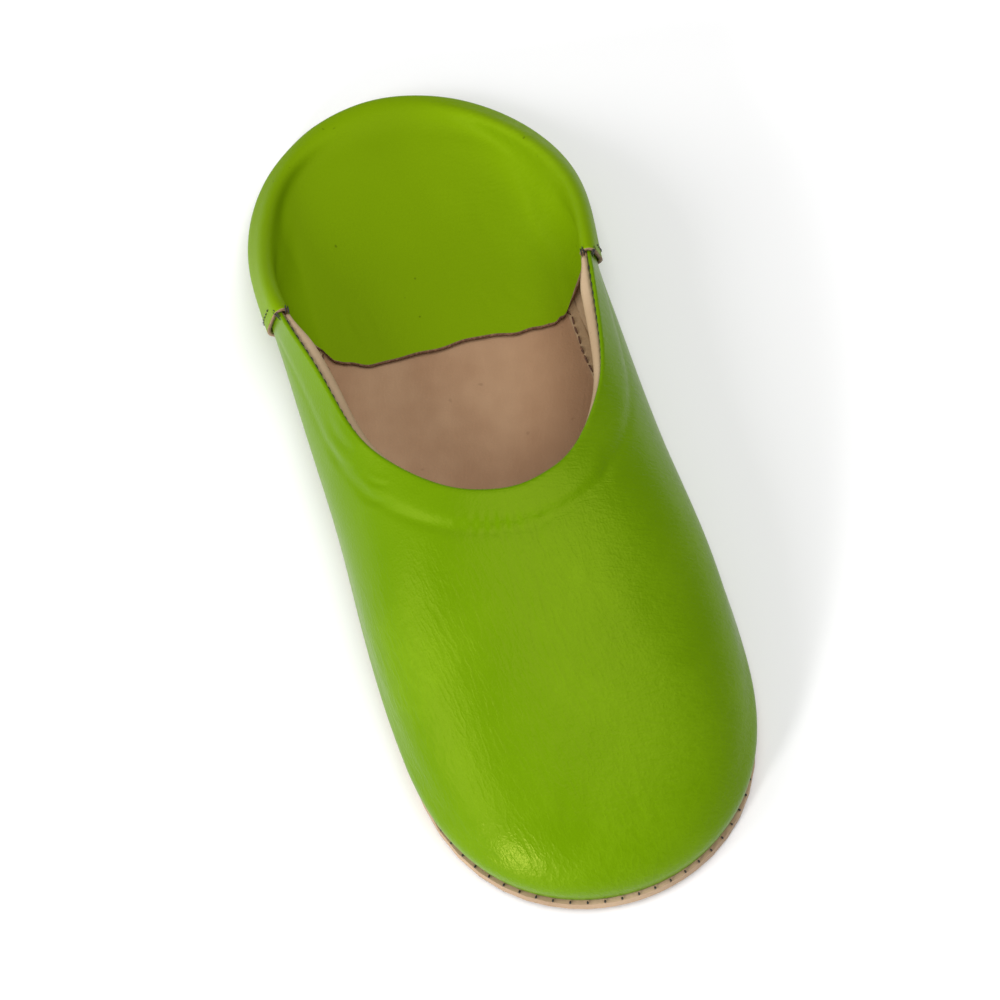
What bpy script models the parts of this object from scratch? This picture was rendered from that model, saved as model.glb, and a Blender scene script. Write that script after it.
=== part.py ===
"""A leather babouche slipper for the right foot, standing empty with its back trodden down.

The toe points to -Y, the big-toe side is +X, and the sole stands on the plane Z = 0.
Every piece is worked out from the sizes below, in metres.
"""

from collections import namedtuple

import bmesh
import bpy
import numpy as np
from mathutils import Matrix

# Overall sizes
SOLE_LENGTH = 0.2570
BALL_WIDTH = 0.0995
HEEL_WIDTH = 0.0830
INSTEP_HEIGHT = 0.0455
COLLAR_WIDTH = 0.0820
COLLAR_LENGTH = 0.1400
FLAP_LENGTH = 0.0830

# Outline of the sole
TOE_DEPTH = 0.0600
HEEL_DEPTH = 0.0480
TOE_ROUNDNESS = 2.5
HEEL_ROUNDNESS = 2.15
WAIST_DELAY = 1.2
TOE_SWING = -0.0006
INNER_WAIST = 0.0012
WAIST_START = 0.13
WAIST_REACH = 0.67
TOE_SPRING = 0.0025
SPRING_START = 0.78

# Leather thicknesses and clearances
SOLE_THICKNESS = 0.0032
SOLE_EDGE_ROUND = 0.0007
INSOLE_THICKNESS = 0.0018
INSOLE_EDGE_ROUND = 0.0003
UPPER_WALL = 0.0020
UPPER_INSET = 0.0016
FLAP_THICKNESS = 0.0012
CLEARANCE = 0.0003
LAP_CLEARANCE = 0.0005
INSOLE_CLEARANCE = 0.0007

# The rolled edge of the lining inside the collar
ROLL_HEIGHT = 0.0070
ROLL_THICKNESS = 0.0030
ROLL_THINNEST = 0.35
ROLL_PROUD = 0.0004
ROLL_SETBACK = 0.0015
ROLL_SQUARENESS = 0.75
ROLL_LEAN = 0.04

# The seams where the flap laps over the quarters
OUTER_SEAM = 0.1400
INNER_SEAM = 0.8490
TUCK_LENGTH = 0.0080
FOLD_HEIGHT = 0.0027
FOLD_ROUNDNESS = 0.55
HUG_LENGTH = 0.055
HUG_DEPTH = 0.4
HUG_FADE = 0.130
FLAP_EASE = 0.12
FLAP_WAVE = 0.0014
FLAP_SOFTENING = 4

# How finely the curved pieces are divided, and from which angle in degrees their edges stay sharp
OUTLINE_SAMPLES = 1200
UPPER_STATIONS = 80
UPPER_RINGS = 15
RING_CROWDING = 0.85
FLAP_STATIONS = 50
WALL_STEPS = 8
OVER_STEPS = 5
SLOPE_STEPS = 9
HUG_STEPS = 4
LYING_STEPS = 5
SOLE_STATIONS = 44
ROLL_STATIONS = 44
ROLL_SIDES = 10
EDGE_SEGMENTS = 2
SHARP_ANGLE = 40
WELD_SHARE = 0.02
PLATE_EDGE_ANGLE = 50

# One row for each rib of the form, from the middle of the heel round by the little-toe side to the toe
# and back by the big-toe side. "at" is the share of the way round the sole where the rib starts. The rib ends
# at the collar, or at the fold of the heel: across is a share of half the collar's width, along of its length
# and height of the instep. The rib leaves the sole outwards and up, and meets its end from reach and drop.
# "lap" is 1 where the flap covers the form.
Rib = namedtuple("Rib", "at across along height out up reach drop lap")
RIBS = (
    Rib(0.000, -0.020, 0.012, 0.135, 0.030, 0.015, 0.004, 0.010, 1.0),
    Rib(0.050, -0.740, 0.100, 0.190, 0.060, 0.045, 0.006, 0.050, 1.0),
    Rib(0.095, -1.085, 0.285, 0.420, 0.105, 0.065, 0.010, 0.130, 1.0),
    Rib(0.139, -1.150, 0.470, 0.690, 0.120, 0.090, 0.008, 0.220, 1.0),
    Rib(0.175, -1.045, 0.610, 0.725, 0.135, 0.090, 0.020, 0.260, 0.0),
    Rib(0.215, -0.955, 0.760, 0.780, 0.125, 0.110, 0.036, 0.240, 0.0),
    Rib(0.265, -0.790, 0.872, 0.860, 0.105, 0.170, 0.070, 0.190, 0.0),
    Rib(0.330, -0.515, 0.965, 0.950, 0.100, 0.290, 0.130, 0.130, 0.0),
    Rib(0.410, -0.230, 1.012, 0.995, 0.045, 0.410, 0.185, 0.130, 0.0),
    Rib(0.500, 0.012, 1.025, 1.005, 0.022, 0.440, 0.240, 0.190, 0.0),
    Rib(0.590, 0.250, 1.012, 0.995, 0.045, 0.410, 0.185, 0.130, 0.0),
    Rib(0.670, 0.515, 0.965, 0.950, 0.100, 0.290, 0.130, 0.130, 0.0),
    Rib(0.735, 0.770, 0.868, 0.860, 0.105, 0.170, 0.070, 0.190, 0.0),
    Rib(0.785, 0.930, 0.758, 0.780, 0.120, 0.110, 0.036, 0.240, 0.0),
    Rib(0.820, 1.020, 0.635, 0.730, 0.125, 0.090, 0.020, 0.260, 0.0),
    Rib(0.850, 1.085, 0.535, 0.700, 0.120, 0.090, 0.008, 0.220, 1.0),
    Rib(0.905, 1.125, 0.300, 0.440, 0.125, 0.065, 0.010, 0.130, 1.0),
    Rib(0.950, 0.710, 0.100, 0.195, 0.060, 0.045, 0.006, 0.050, 1.0),
)

# One row for each rib of the folded-in flap, from the big-toe seam round the heel to the little-toe seam.
# The foot is where its slope reaches the insole, and the edge is where it is cut off: across is a share of
# half the sole's heel width, along of the flap's length from the back of the sole, and lift of FLAP_WAVE.
Fold = namedtuple("Fold", "at foot_across foot_along edge_across edge_along lift")
FOLDS = (
    Fold(0.00, 0.880, 0.950, 0.865, 0.975, 0.30),
    Fold(0.15, 0.865, 0.640, 0.790, 1.000, 0.25),
    Fold(0.32, 0.700, 0.330, 0.560, 1.000, 0.10),
    Fold(0.50, 0.000, 0.200, 0.060, 0.975, 0.20),
    Fold(0.68, -0.700, 0.330, -0.520, 0.960, 0.05),
    Fold(0.85, -0.865, 0.560, -0.790, 0.915, 0.15),
    Fold(1.00, -0.880, 0.835, -0.865, 0.860, 0.30),
)

# Plain colours of the leathers: red, green, blue, roughness
LEATHERS = {
    "green_leather": (0.165, 0.360, 0.004, 0.42),
    "tan_lining": (0.420, 0.275, 0.165, 0.62),
    "tan_insole": (0.300, 0.180, 0.100, 0.68),
    "sole_leather": (0.380, 0.240, 0.150, 0.72),
}


def smooth(knots, values, at, period=None):
    """Reads a cubic spline through values at knots, closed where a period is given."""
    knots, values = np.asarray(knots, float), np.asarray(values, float)
    if period:
        pad = 3
        knots = np.concatenate([knots[-pad:] - period, knots, knots[:pad] + period])
        values = np.concatenate([values[-pad:], values, values[:pad]])
        at = np.mod(at, period)
    gap = np.diff(knots)
    slope = np.diff(values, axis=0) / gap[:, None]
    count = len(knots)
    system = np.eye(count)
    known = np.zeros_like(values)
    for i in range(1, count - 1):
        system[i, i - 1 : i + 2] = gap[i - 1], 2 * (gap[i - 1] + gap[i]), gap[i]
        known[i] = 6 * (slope[i] - slope[i - 1])
    bend = np.linalg.solve(system, known)
    i = np.clip(np.searchsorted(knots, at, side="right") - 1, 0, count - 2)
    left, right, width = knots[i], knots[i + 1], gap[i]
    before, after = ((at - left) / width)[:, None], ((right - at) / width)[:, None]
    square = (width**2 / 6)[:, None]
    return (
        after * values[i]
        + before * values[i + 1]
        + square * ((after**3 - after) * bend[i] + (before**3 - before) * bend[i + 1])
    )


def ease(share):
    """Runs smoothly from 0 to 1 as share does."""
    share = np.clip(share, 0, 1)
    return share * share * (3 - 2 * share)


def spring(along):
    """How far the sole lifts off the floor at each distance from its heel end."""
    share = np.clip(along / SOLE_LENGTH, 0, None)
    start = np.clip((share - SPRING_START) / (1 - SPRING_START), 0, None)
    return TOE_SPRING * start**2


def sole_half_width(along):
    """Half the sole's width at each distance from its heel end: a rounded heel, a waist and a rounded toe."""
    heel, ball = HEEL_WIDTH / 2, BALL_WIDTH / 2
    toe_start = SOLE_LENGTH - TOE_DEPTH
    behind = np.clip((HEEL_DEPTH - along) / HEEL_DEPTH, 0, 1)
    before = np.clip((along - toe_start) / TOE_DEPTH, 0, 1)
    between = np.clip((along - HEEL_DEPTH) / (toe_start - HEEL_DEPTH), 0, 1)
    width = heel + (ball - heel) * ease(between**WAIST_DELAY)
    ends = (1 - behind**HEEL_ROUNDNESS) * (1 - before**TOE_ROUNDNESS)
    return width * np.sqrt(ends)


def sole_outline(inset=0.0):
    """The sole's edge as a closed line, evenly spaced from the heel round by the little-toe side.

    Returns points (across, along) and outward directions. The line is drawn in by inset.
    """
    turn = np.linspace(0, np.pi, OUTLINE_SAMPLES)
    along = SOLE_LENGTH * (1 - np.cos(turn)) / 2
    half = sole_half_width(along)
    swing = TOE_SWING * ease(along / SOLE_LENGTH * 2 - 1)
    narrowing = np.clip((along / SOLE_LENGTH - WAIST_START) / WAIST_REACH, 0, 1)
    waist = INNER_WAIST * np.sin(np.pi * narrowing) ** 2
    outer = np.stack([swing - half, along], axis=1)
    inner = np.stack([swing + half - waist, along], axis=1)
    line = np.concatenate([outer, inner[-2:0:-1]])
    line = evenly(line, 2 * OUTLINE_SAMPLES)
    ahead, behind = np.roll(line, -1, axis=0), np.roll(line, 1, axis=0)
    run = ahead - behind
    out = np.stack([-run[:, 1], run[:, 0]], axis=1)
    out /= np.linalg.norm(out, axis=1, keepdims=True)
    return line - inset * out, out


def evenly(line, count):
    """Reads a closed line at evenly spaced points."""
    closed = np.concatenate([line, line[:1]])
    steps = np.linalg.norm(np.diff(closed, axis=0), axis=1)
    far = np.concatenate([[0], np.cumsum(steps)])
    at = np.linspace(0, far[-1], count, endpoint=False)
    return np.stack([np.interp(at, far, closed[:, k]) for k in range(2)], axis=1)


def read_round(values, share):
    """Reads evenly spaced values of a closed line at shares of the way round."""
    count = len(values)
    place = np.mod(share, 1) * count
    first = np.floor(place).astype(int) % count
    part = (place - np.floor(place))[:, None]
    return values[first] * (1 - part) + values[(first + 1) % count] * part


def outward(line_at, share, step=0.002):
    """Outward directions in plan of a closed line, which line_at reads at shares of the way round."""
    run = line_at(share + step)[:, :2] - line_at(share - step)[:, :2]
    out = np.stack([-run[:, 1], run[:, 0]], axis=1)
    return out / np.linalg.norm(out, axis=1, keepdims=True)


def rib_ends(share):
    """Where the ribs end, at the collar and the fold: points (across, along, height)."""
    knots = [rib.at for rib in RIBS]
    rows = [(rib.across, rib.along, rib.height) for rib in RIBS]
    sizes = (COLLAR_WIDTH / 2, COLLAR_LENGTH, INSTEP_HEIGHT)
    return smooth(knots, rows, share, period=1.0) * sizes


def rib_shape(share):
    """How the ribs run: out, up, reach, drop and lap at shares of the way round."""
    knots = [rib.at for rib in RIBS]
    rows = [(rib.out, rib.up, rib.reach, rib.drop) for rib in RIBS]
    sizes = (BALL_WIDTH, INSTEP_HEIGHT, SOLE_LENGTH, INSTEP_HEIGHT)
    run = smooth(knots, rows, share, period=1.0) * sizes
    lap = np.interp(np.mod(share, 1), knots + [1.0], [rib.lap for rib in RIBS] + [RIBS[0].lap])
    return run, lap


def bezier(controls, share):
    """Points of cubic Bezier curves at shares of their run; each control has a row for each rib."""
    a, b, c, d = (control[:, None, :] for control in controls)
    t = np.asarray(share)[None, :, None]
    return (1 - t) ** 3 * a + 3 * (1 - t) ** 2 * t * b + 3 * (1 - t) * t**2 * c + t**3 * d


def form(share, run):
    """The outer form of the slipper, from the sole (run 0) to the collar or fold (run 1)."""
    line, out_of_line = sole_outline(UPPER_INSET)
    base, base_out = read_round(line, share), read_round(out_of_line, share)
    top = rib_ends(share)
    top_out = outward(rib_ends, share)
    shape, lap = rib_shape(share)
    rise = SOLE_THICKNESS + CLEARANCE + lap * (FLAP_THICKNESS + LAP_CLEARANCE)
    start = np.column_stack([base, rise])
    first = start + np.column_stack([base_out * shape[:, :1], shape[:, 1]])
    second = top + np.column_stack([top_out * shape[:, 2:3], -shape[:, 3]])
    return bezier((start, first, second, top), run)


def normals(grid):
    """Outward unit directions of a grid of points."""
    across = np.gradient(grid, axis=0)
    upward = np.gradient(grid, axis=1)
    out = np.cross(upward, across)
    return out / np.linalg.norm(out, axis=2, keepdims=True)


def placed(points):
    """Turns (across, along, height) into the slipper's own frame: the toe to -Y, lifted by the toe spring."""
    x, along, z = points[..., 0], points[..., 1], points[..., 2]
    return np.stack([x, SOLE_LENGTH / 2 - along, z + spring(along)], axis=-1)


def leather(name):
    """The plain material of one leather."""
    made = bpy.data.materials.get(name)
    if made is None:
        red, green, blue, roughness = LEATHERS[name]
        made = bpy.data.materials.new(name)
        made.use_nodes = True
        surface = made.node_tree.nodes["Principled BSDF"]
        surface.inputs["Base Color"].default_value = (red, green, blue, 1)
        surface.inputs["Roughness"].default_value = roughness
        surface.inputs["Metallic"].default_value = 0.0
    return made


def add_piece(name, points, faces, material):
    """Makes a named object from points in the slipper's frame."""
    mesh = bpy.data.meshes.new(name)
    mesh.from_pydata([tuple(point) for point in points], [], [tuple(face) for face in faces])
    mesh.materials.append(leather(material))
    build = bmesh.new()
    build.from_mesh(mesh)
    bmesh.ops.recalc_face_normals(build, faces=build.faces)
    build.to_mesh(mesh)
    build.free()
    mesh.shade_smooth()
    mesh.set_sharp_from_angle(angle=np.radians(SHARP_ANGLE))
    slipper.objects.link(bpy.data.objects.new(name, mesh))


def grid_faces(rows, columns, closed_columns=False):
    """The four-cornered faces of a grid whose points are numbered along its columns first."""
    row = np.arange(rows - 1)
    column = np.arange(columns if closed_columns else columns - 1)
    i, j = np.meshgrid(row, column, indexing="ij")
    next_i, next_j = i + 1, (j + 1) % columns
    corners = (i * columns + j, next_i * columns + j, next_i * columns + next_j, i * columns + next_j)
    return np.stack([corner.ravel() for corner in corners], axis=1)


def sheet_piece(name, grid, thickness, material):
    """A leather sheet: its outer face is the grid, and its thickness goes inwards."""
    rows, columns = grid.shape[:2]
    faces = grid_faces(rows, columns)
    mesh = bpy.data.meshes.new(name)
    points = placed(grid).reshape(-1, 3)
    mesh.from_pydata([tuple(point) for point in points], [], [tuple(face) for face in faces])
    mesh.materials.append(leather(material))
    mesh.shade_smooth()
    piece = bpy.data.objects.new(name, mesh)
    slipper.objects.link(piece)
    wall = piece.modifiers.new("wall", "SOLIDIFY")
    wall.thickness = thickness
    wall.offset = -1
    wall.use_even_offset = True


def plate_piece(name, inset, top, thickness, edge_round, material):
    """A flat leather plate of the sole's outline drawn in by inset, its upper face at height top."""
    line, _ = sole_outline(inset)
    turn = np.linspace(0, np.pi, SOLE_STATIONS)
    halfway = np.argmax(line[:, 1]) / len(line)
    outer = read_round(line, halfway * (1 - np.cos(turn)) / 2)
    inner = read_round(line, 1 - (1 - halfway) * (1 - np.cos(turn)) / 2)
    columns = np.stack([outer, inner], axis=1)
    points = placed(np.concatenate([columns, np.full(columns.shape[:2] + (1,), top)], axis=2)).reshape(-1, 3)
    strips = grid_faces(SOLE_STATIONS, 2)
    mesh = bpy.data.meshes.new(name)
    mesh.from_pydata([tuple(point) for point in points], [], [tuple(face) for face in strips])
    mesh.materials.append(leather(material))
    build = bmesh.new()
    build.from_mesh(mesh)
    bmesh.ops.remove_doubles(build, verts=build.verts, dist=thickness * WELD_SHARE)
    build.to_mesh(mesh)
    build.free()
    piece = bpy.data.objects.new(name, mesh)
    slipper.objects.link(piece)
    plate = piece.modifiers.new("plate", "SOLIDIFY")
    plate.thickness = thickness
    plate.offset = -1
    edge = piece.modifiers.new("edge", "BEVEL")
    edge.width = edge_round
    edge.segments = EDGE_SEGMENTS
    edge.limit_method = "ANGLE"
    edge.angle_limit = np.radians(PLATE_EDGE_ANGLE)


def upper_piece():
    """The vamp and both quarters: one hollow wall from seam to seam round the toe, open at the collar."""
    tuck = TUCK_LENGTH / outline_length()
    share = np.linspace(OUTER_SEAM - tuck, INNER_SEAM + tuck, UPPER_STATIONS)
    run = np.linspace(0, 1, UPPER_RINGS) ** RING_CROWDING
    sheet_piece("upper", form(share, run), UPPER_WALL, "green_leather")


def outline_length():
    """The way round the sole, along the line where the upper starts."""
    line, _ = sole_outline(UPPER_INSET)
    return np.linalg.norm(np.diff(line, axis=0, append=line[:1]), axis=1).sum()


def steps(count):
    """Even shares from just past 0 to 1."""
    return np.linspace(0, 1, count + 1)[1:]


def softened(grid, first):
    """Rounds the sharp turns of a grid's ribs, from the column first onwards, and keeps their ends."""
    grid = grid.copy()
    for _ in range(FLAP_SOFTENING):
        between = (grid[:, first - 1 : -2] + grid[:, first + 1 :]) / 2
        grid[:, first:-1] = (grid[:, first:-1] + between) / 2
    return grid


def flap_grid():
    """The outer face of the heel piece, from the sole over the fold and down to its cut edge inside."""
    part = np.linspace(0, 1, FLAP_STATIONS)
    share = INNER_SEAM + (1 + OUTER_SEAM - INNER_SEAM) * part
    outside = form(share, np.linspace(0, 1, WALL_STEPS))
    outside = outside + normals(outside) * (FLAP_THICKNESS + LAP_CLEARANCE)
    top = outside[:, -1]
    rise = outside[:, -1] - outside[:, -2]
    rise /= np.linalg.norm(rise, axis=1, keepdims=True)
    inwards = np.column_stack([-outward(rib_ends, share), np.zeros(len(share))])
    crest = top + inwards * FOLD_HEIGHT
    crest[:, 2] = rib_ends(share)[:, 2] + FOLD_HEIGHT
    bow = FOLD_HEIGHT * FOLD_ROUNDNESS
    over = bezier((top, top + rise * bow, crest - inwards * bow, crest), steps(OVER_STEPS))
    rows = smooth([fold.at for fold in FOLDS], [fold[1:] for fold in FOLDS], part)
    level = SOLE_THICKNESS + INSOLE_THICKNESS + FLAP_THICKNESS + 2 * CLEARANCE
    size = (HEEL_WIDTH / 2, FLAP_LENGTH)
    foot = np.column_stack([rows[:, 0:2] * size, np.full(len(part), level)])
    edge = np.column_stack([rows[:, 2:4] * size, level + rows[:, 4] * FLAP_WAVE])
    flat = edge - foot
    length = np.linalg.norm(flat, axis=1, keepdims=True)
    gentle = np.minimum(length, FLAP_LENGTH * FLAP_EASE) * flat / length
    free = bezier((crest, crest + inwards * FOLD_HEIGHT, foot - gentle, foot), steps(SLOPE_STEPS))
    hug = 1 - ease((np.minimum(part, 1 - part) - HUG_LENGTH) / HUG_FADE)[:, None, None]
    slope = free + (lining_side(share, crest, inwards, foot) - free) * hug
    lying = foot[:, None] + flat[:, None] * steps(LYING_STEPS)[:, None]
    grid = np.concatenate([outside, over, slope, lying], axis=1)
    return softened(grid, grid.shape[1] - LYING_STEPS - HUG_STEPS - 1)


def lining_side(share, crest, inwards, foot):
    """The way from the crest down to the foot where the flap lies against the inside of the quarter."""
    wall = form(share, np.linspace(1, HUG_DEPTH, HUG_STEPS + 1))
    wall = wall + normals(wall) * (UPPER_WALL + LAP_CLEARANCE + FLAP_THICKNESS)
    top = wall[:, 0]
    raised = top + np.array([0, 0, FOLD_HEIGHT / 2])
    over = bezier((crest, crest + inwards * FOLD_HEIGHT / 2, raised, top), steps(SLOPE_STEPS - HUG_STEPS - 1))
    return np.concatenate([over, wall[:, 1:], foot[:, None]], axis=1)


def shell_piece(name, outer, thickness, material):
    """A leather piece lofted between its outer face, which is the grid, and the face under it."""
    inner = outer - normals(outer) * thickness
    rows, columns = outer.shape[:2]
    points = placed(np.concatenate([outer, inner], axis=1)).reshape(-1, 3)
    ring = np.concatenate([np.arange(columns), np.arange(2 * columns - 1, columns - 1, -1)])
    row = np.arange(rows - 1)[:, None] * 2 * columns
    turned = np.roll(ring, -1)
    corners = (row + ring, row + 2 * columns + ring, row + 2 * columns + turned, row + turned)
    sides = np.stack([corner.ravel() for corner in corners], axis=1)[:, ::-1]
    here = np.arange(columns - 1)
    cap = np.stack([here, here + 1, here + 1 + columns, here + columns], axis=1)
    last = cap[:, ::-1] + (rows - 1) * 2 * columns
    return add_piece(name, points, np.concatenate([sides, cap, last]), material)


def flap_piece():
    """The back of the slipper, folded in and lying on the insole."""
    shell_piece("heel_flap", flap_grid(), FLAP_THICKNESS, "green_leather")


def roll_piece():
    """The rolled edge of the lining, which shows inside the collar from seam to seam."""
    length = outline_length()
    share = np.linspace(OUTER_SEAM + ROLL_SETBACK / length, INNER_SEAM - ROLL_SETBACK / length, ROLL_STATIONS)
    grid = form(share, np.array([1 - ROLL_LEAN, 1]))
    top = grid[:, 1]
    down = grid[:, 0] - top
    down /= np.linalg.norm(down, axis=1, keepdims=True)
    out = normals(grid)[:, 1]
    fullness = np.clip(np.abs(rib_ends(share)[:, :1]) / (COLLAR_WIDTH / 2), ROLL_THINNEST, 1)
    thick = ROLL_THICKNESS * fullness / 2
    middle = top - out * (UPPER_WALL + CLEARANCE + thick) + down * (ROLL_HEIGHT / 2 - ROLL_PROUD)
    turn = np.linspace(0, 2 * np.pi, ROLL_SIDES, endpoint=False)
    wide = np.sign(np.cos(turn)) * np.abs(np.cos(turn)) ** ROLL_SQUARENESS
    high = np.sign(np.sin(turn)) * np.abs(np.sin(turn)) ** ROLL_SQUARENESS
    offset = out[:, None] * thick[:, None] * wide[None, :, None]
    offset = offset - down[:, None] * ROLL_HEIGHT / 2 * high[None, :, None]
    points = placed(middle[:, None] + offset).reshape(-1, 3)
    sides = grid_faces(ROLL_STATIONS, ROLL_SIDES, closed_columns=True)
    last = (ROLL_STATIONS - 1) * ROLL_SIDES
    caps = [tuple(range(ROLL_SIDES)), tuple(range(last, last + ROLL_SIDES))]
    add_piece("lining_roll", points, [tuple(face) for face in sides] + caps, "tan_lining")


def stand_at_origin():
    """Moves every piece so that the middle of the slipper's underside is at the origin."""
    scene_state = bpy.context.evaluated_depsgraph_get()
    corners = []
    for piece in slipper.objects:
        shape = piece.evaluated_get(scene_state).to_mesh()
        points = np.empty(3 * len(shape.vertices))
        shape.vertices.foreach_get("co", points)
        points = points.reshape(-1, 3)
        corners.extend([points.min(axis=0), points.max(axis=0)])
    low, high = np.min(corners, axis=0), np.max(corners, axis=0)
    middle = (low + high) / 2
    away = Matrix.Translation((-middle[0], -middle[1], -low[2]))
    for piece in slipper.objects:
        piece.data.transform(away)


def main():
    """Builds every piece of the slipper."""
    plate_piece("outsole", 0.0, SOLE_THICKNESS, SOLE_THICKNESS, SOLE_EDGE_ROUND, "sole_leather")
    insole_top = SOLE_THICKNESS + CLEARANCE + INSOLE_THICKNESS
    insole_inset = UPPER_INSET + UPPER_WALL + INSOLE_CLEARANCE
    plate_piece("insole", insole_inset, insole_top, INSOLE_THICKNESS, INSOLE_EDGE_ROUND, "tan_insole")
    upper_piece()
    flap_piece()
    roll_piece()
    stand_at_origin()


for old in list(bpy.data.objects):
    bpy.data.objects.remove(old)
slipper = bpy.data.collections.new("babouche_slipper")
bpy.context.scene.collection.children.link(slipper)
main()
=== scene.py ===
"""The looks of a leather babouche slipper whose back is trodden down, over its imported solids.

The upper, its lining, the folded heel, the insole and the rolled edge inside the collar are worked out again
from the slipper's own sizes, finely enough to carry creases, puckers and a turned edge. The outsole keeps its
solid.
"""

import logging
import math
from dataclasses import dataclass, field
from enum import Enum
from typing import Any, NamedTuple, Sequence

import bpy
import numpy as np
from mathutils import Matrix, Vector
from numpy.typing import NDArray


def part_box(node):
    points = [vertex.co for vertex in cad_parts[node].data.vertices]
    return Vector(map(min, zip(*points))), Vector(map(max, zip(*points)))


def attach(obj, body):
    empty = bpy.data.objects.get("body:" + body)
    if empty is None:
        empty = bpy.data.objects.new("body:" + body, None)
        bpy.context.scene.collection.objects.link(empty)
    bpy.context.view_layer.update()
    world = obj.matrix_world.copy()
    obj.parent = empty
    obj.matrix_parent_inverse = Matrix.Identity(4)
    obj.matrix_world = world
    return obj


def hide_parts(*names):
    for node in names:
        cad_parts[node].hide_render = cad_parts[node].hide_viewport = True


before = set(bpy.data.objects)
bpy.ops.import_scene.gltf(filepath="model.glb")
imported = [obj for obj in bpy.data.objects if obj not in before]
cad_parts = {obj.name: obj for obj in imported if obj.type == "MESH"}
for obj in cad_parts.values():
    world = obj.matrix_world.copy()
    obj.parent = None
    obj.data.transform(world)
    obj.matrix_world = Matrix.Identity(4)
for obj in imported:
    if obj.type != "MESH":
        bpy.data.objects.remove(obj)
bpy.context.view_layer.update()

Array = NDArray[np.float64]
Finishes = dict[str, bpy.types.Material]
UPWARDS = np.array([0.0, 0.0, 1.0])
log = logging.getLogger("babouche")


class Rib(NamedTuple):
    """One rib of the form, in shares of the named sizes, as in the solids."""

    at: float
    across: float
    along: float
    height: float
    out: float
    up: float
    reach: float
    drop: float
    lap: float


class Fold(NamedTuple):
    """One rib of the folded-in heel, in shares of the heel's width and the flap's length."""

    at: float
    foot_across: float
    foot_along: float
    edge_across: float
    edge_along: float
    lift: float


class Crease(NamedTuple):
    """A soft trough between two low ridges, from start to end.

    Places are shares of half the ball's width and of the sole's length. Width, depth and bend are in metres.
    """

    across: float
    along: float
    to_across: float
    to_along: float
    bend: float
    width: float
    depth: float


class Stitch(NamedTuple):
    """A kind of stitch: its thread's radius and bow, and how a row of them is spaced.

    Part is the share of the pitch that the thread takes, and left is how much of the seam's end stays free.
    """

    radius: float
    bow: float
    pitch: float = 0.0
    part: float = 1.0
    left: float = 0.0


class CornerThread(NamedTuple):
    """A thread through a corner, from a place on the fold to a place on the quarter.

    A place is the share of the way round by which it stands ahead of the seam, and how far out from the line
    that the ribs end on and how far above it, in metres.
    """

    on_fold: tuple[float, float, float]
    on_quarter: tuple[float, float, float]


RIBS = (
    Rib(0.000, -0.020, 0.012, 0.135, 0.030, 0.015, 0.004, 0.010, 1.0),
    Rib(0.050, -0.740, 0.100, 0.190, 0.060, 0.045, 0.006, 0.050, 1.0),
    Rib(0.095, -1.085, 0.285, 0.420, 0.105, 0.065, 0.010, 0.130, 1.0),
    Rib(0.139, -1.150, 0.470, 0.690, 0.120, 0.090, 0.008, 0.220, 1.0),
    Rib(0.175, -1.045, 0.610, 0.725, 0.135, 0.090, 0.020, 0.260, 0.0),
    Rib(0.215, -0.955, 0.760, 0.780, 0.125, 0.110, 0.036, 0.240, 0.0),
    Rib(0.265, -0.790, 0.872, 0.860, 0.105, 0.170, 0.070, 0.190, 0.0),
    Rib(0.330, -0.515, 0.965, 0.950, 0.100, 0.290, 0.130, 0.130, 0.0),
    Rib(0.410, -0.230, 1.012, 0.995, 0.045, 0.410, 0.185, 0.130, 0.0),
    Rib(0.500, 0.012, 1.025, 1.005, 0.022, 0.440, 0.240, 0.190, 0.0),
    Rib(0.590, 0.250, 1.012, 0.995, 0.045, 0.410, 0.185, 0.130, 0.0),
    Rib(0.670, 0.515, 0.965, 0.950, 0.100, 0.290, 0.130, 0.130, 0.0),
    Rib(0.735, 0.770, 0.868, 0.860, 0.105, 0.170, 0.070, 0.190, 0.0),
    Rib(0.785, 0.930, 0.758, 0.780, 0.120, 0.110, 0.036, 0.240, 0.0),
    Rib(0.820, 1.020, 0.635, 0.730, 0.125, 0.090, 0.020, 0.260, 0.0),
    Rib(0.850, 1.085, 0.535, 0.700, 0.120, 0.090, 0.008, 0.220, 1.0),
    Rib(0.905, 1.125, 0.300, 0.440, 0.125, 0.065, 0.010, 0.130, 1.0),
    Rib(0.950, 0.710, 0.100, 0.195, 0.060, 0.045, 0.006, 0.050, 1.0),
)

FOLDS = (
    Fold(0.00, 0.880, 0.950, 0.865, 0.975, 0.30),
    Fold(0.15, 0.865, 0.640, 0.790, 1.000, 0.25),
    Fold(0.32, 0.700, 0.330, 0.560, 1.000, 0.10),
    Fold(0.50, 0.000, 0.200, 0.060, 0.975, 0.20),
    Fold(0.68, -0.700, 0.330, -0.520, 0.960, 0.05),
    Fold(0.85, -0.865, 0.560, -0.790, 0.915, 0.15),
    Fold(1.00, -0.880, 0.835, -0.865, 0.860, 0.30),
)

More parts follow.
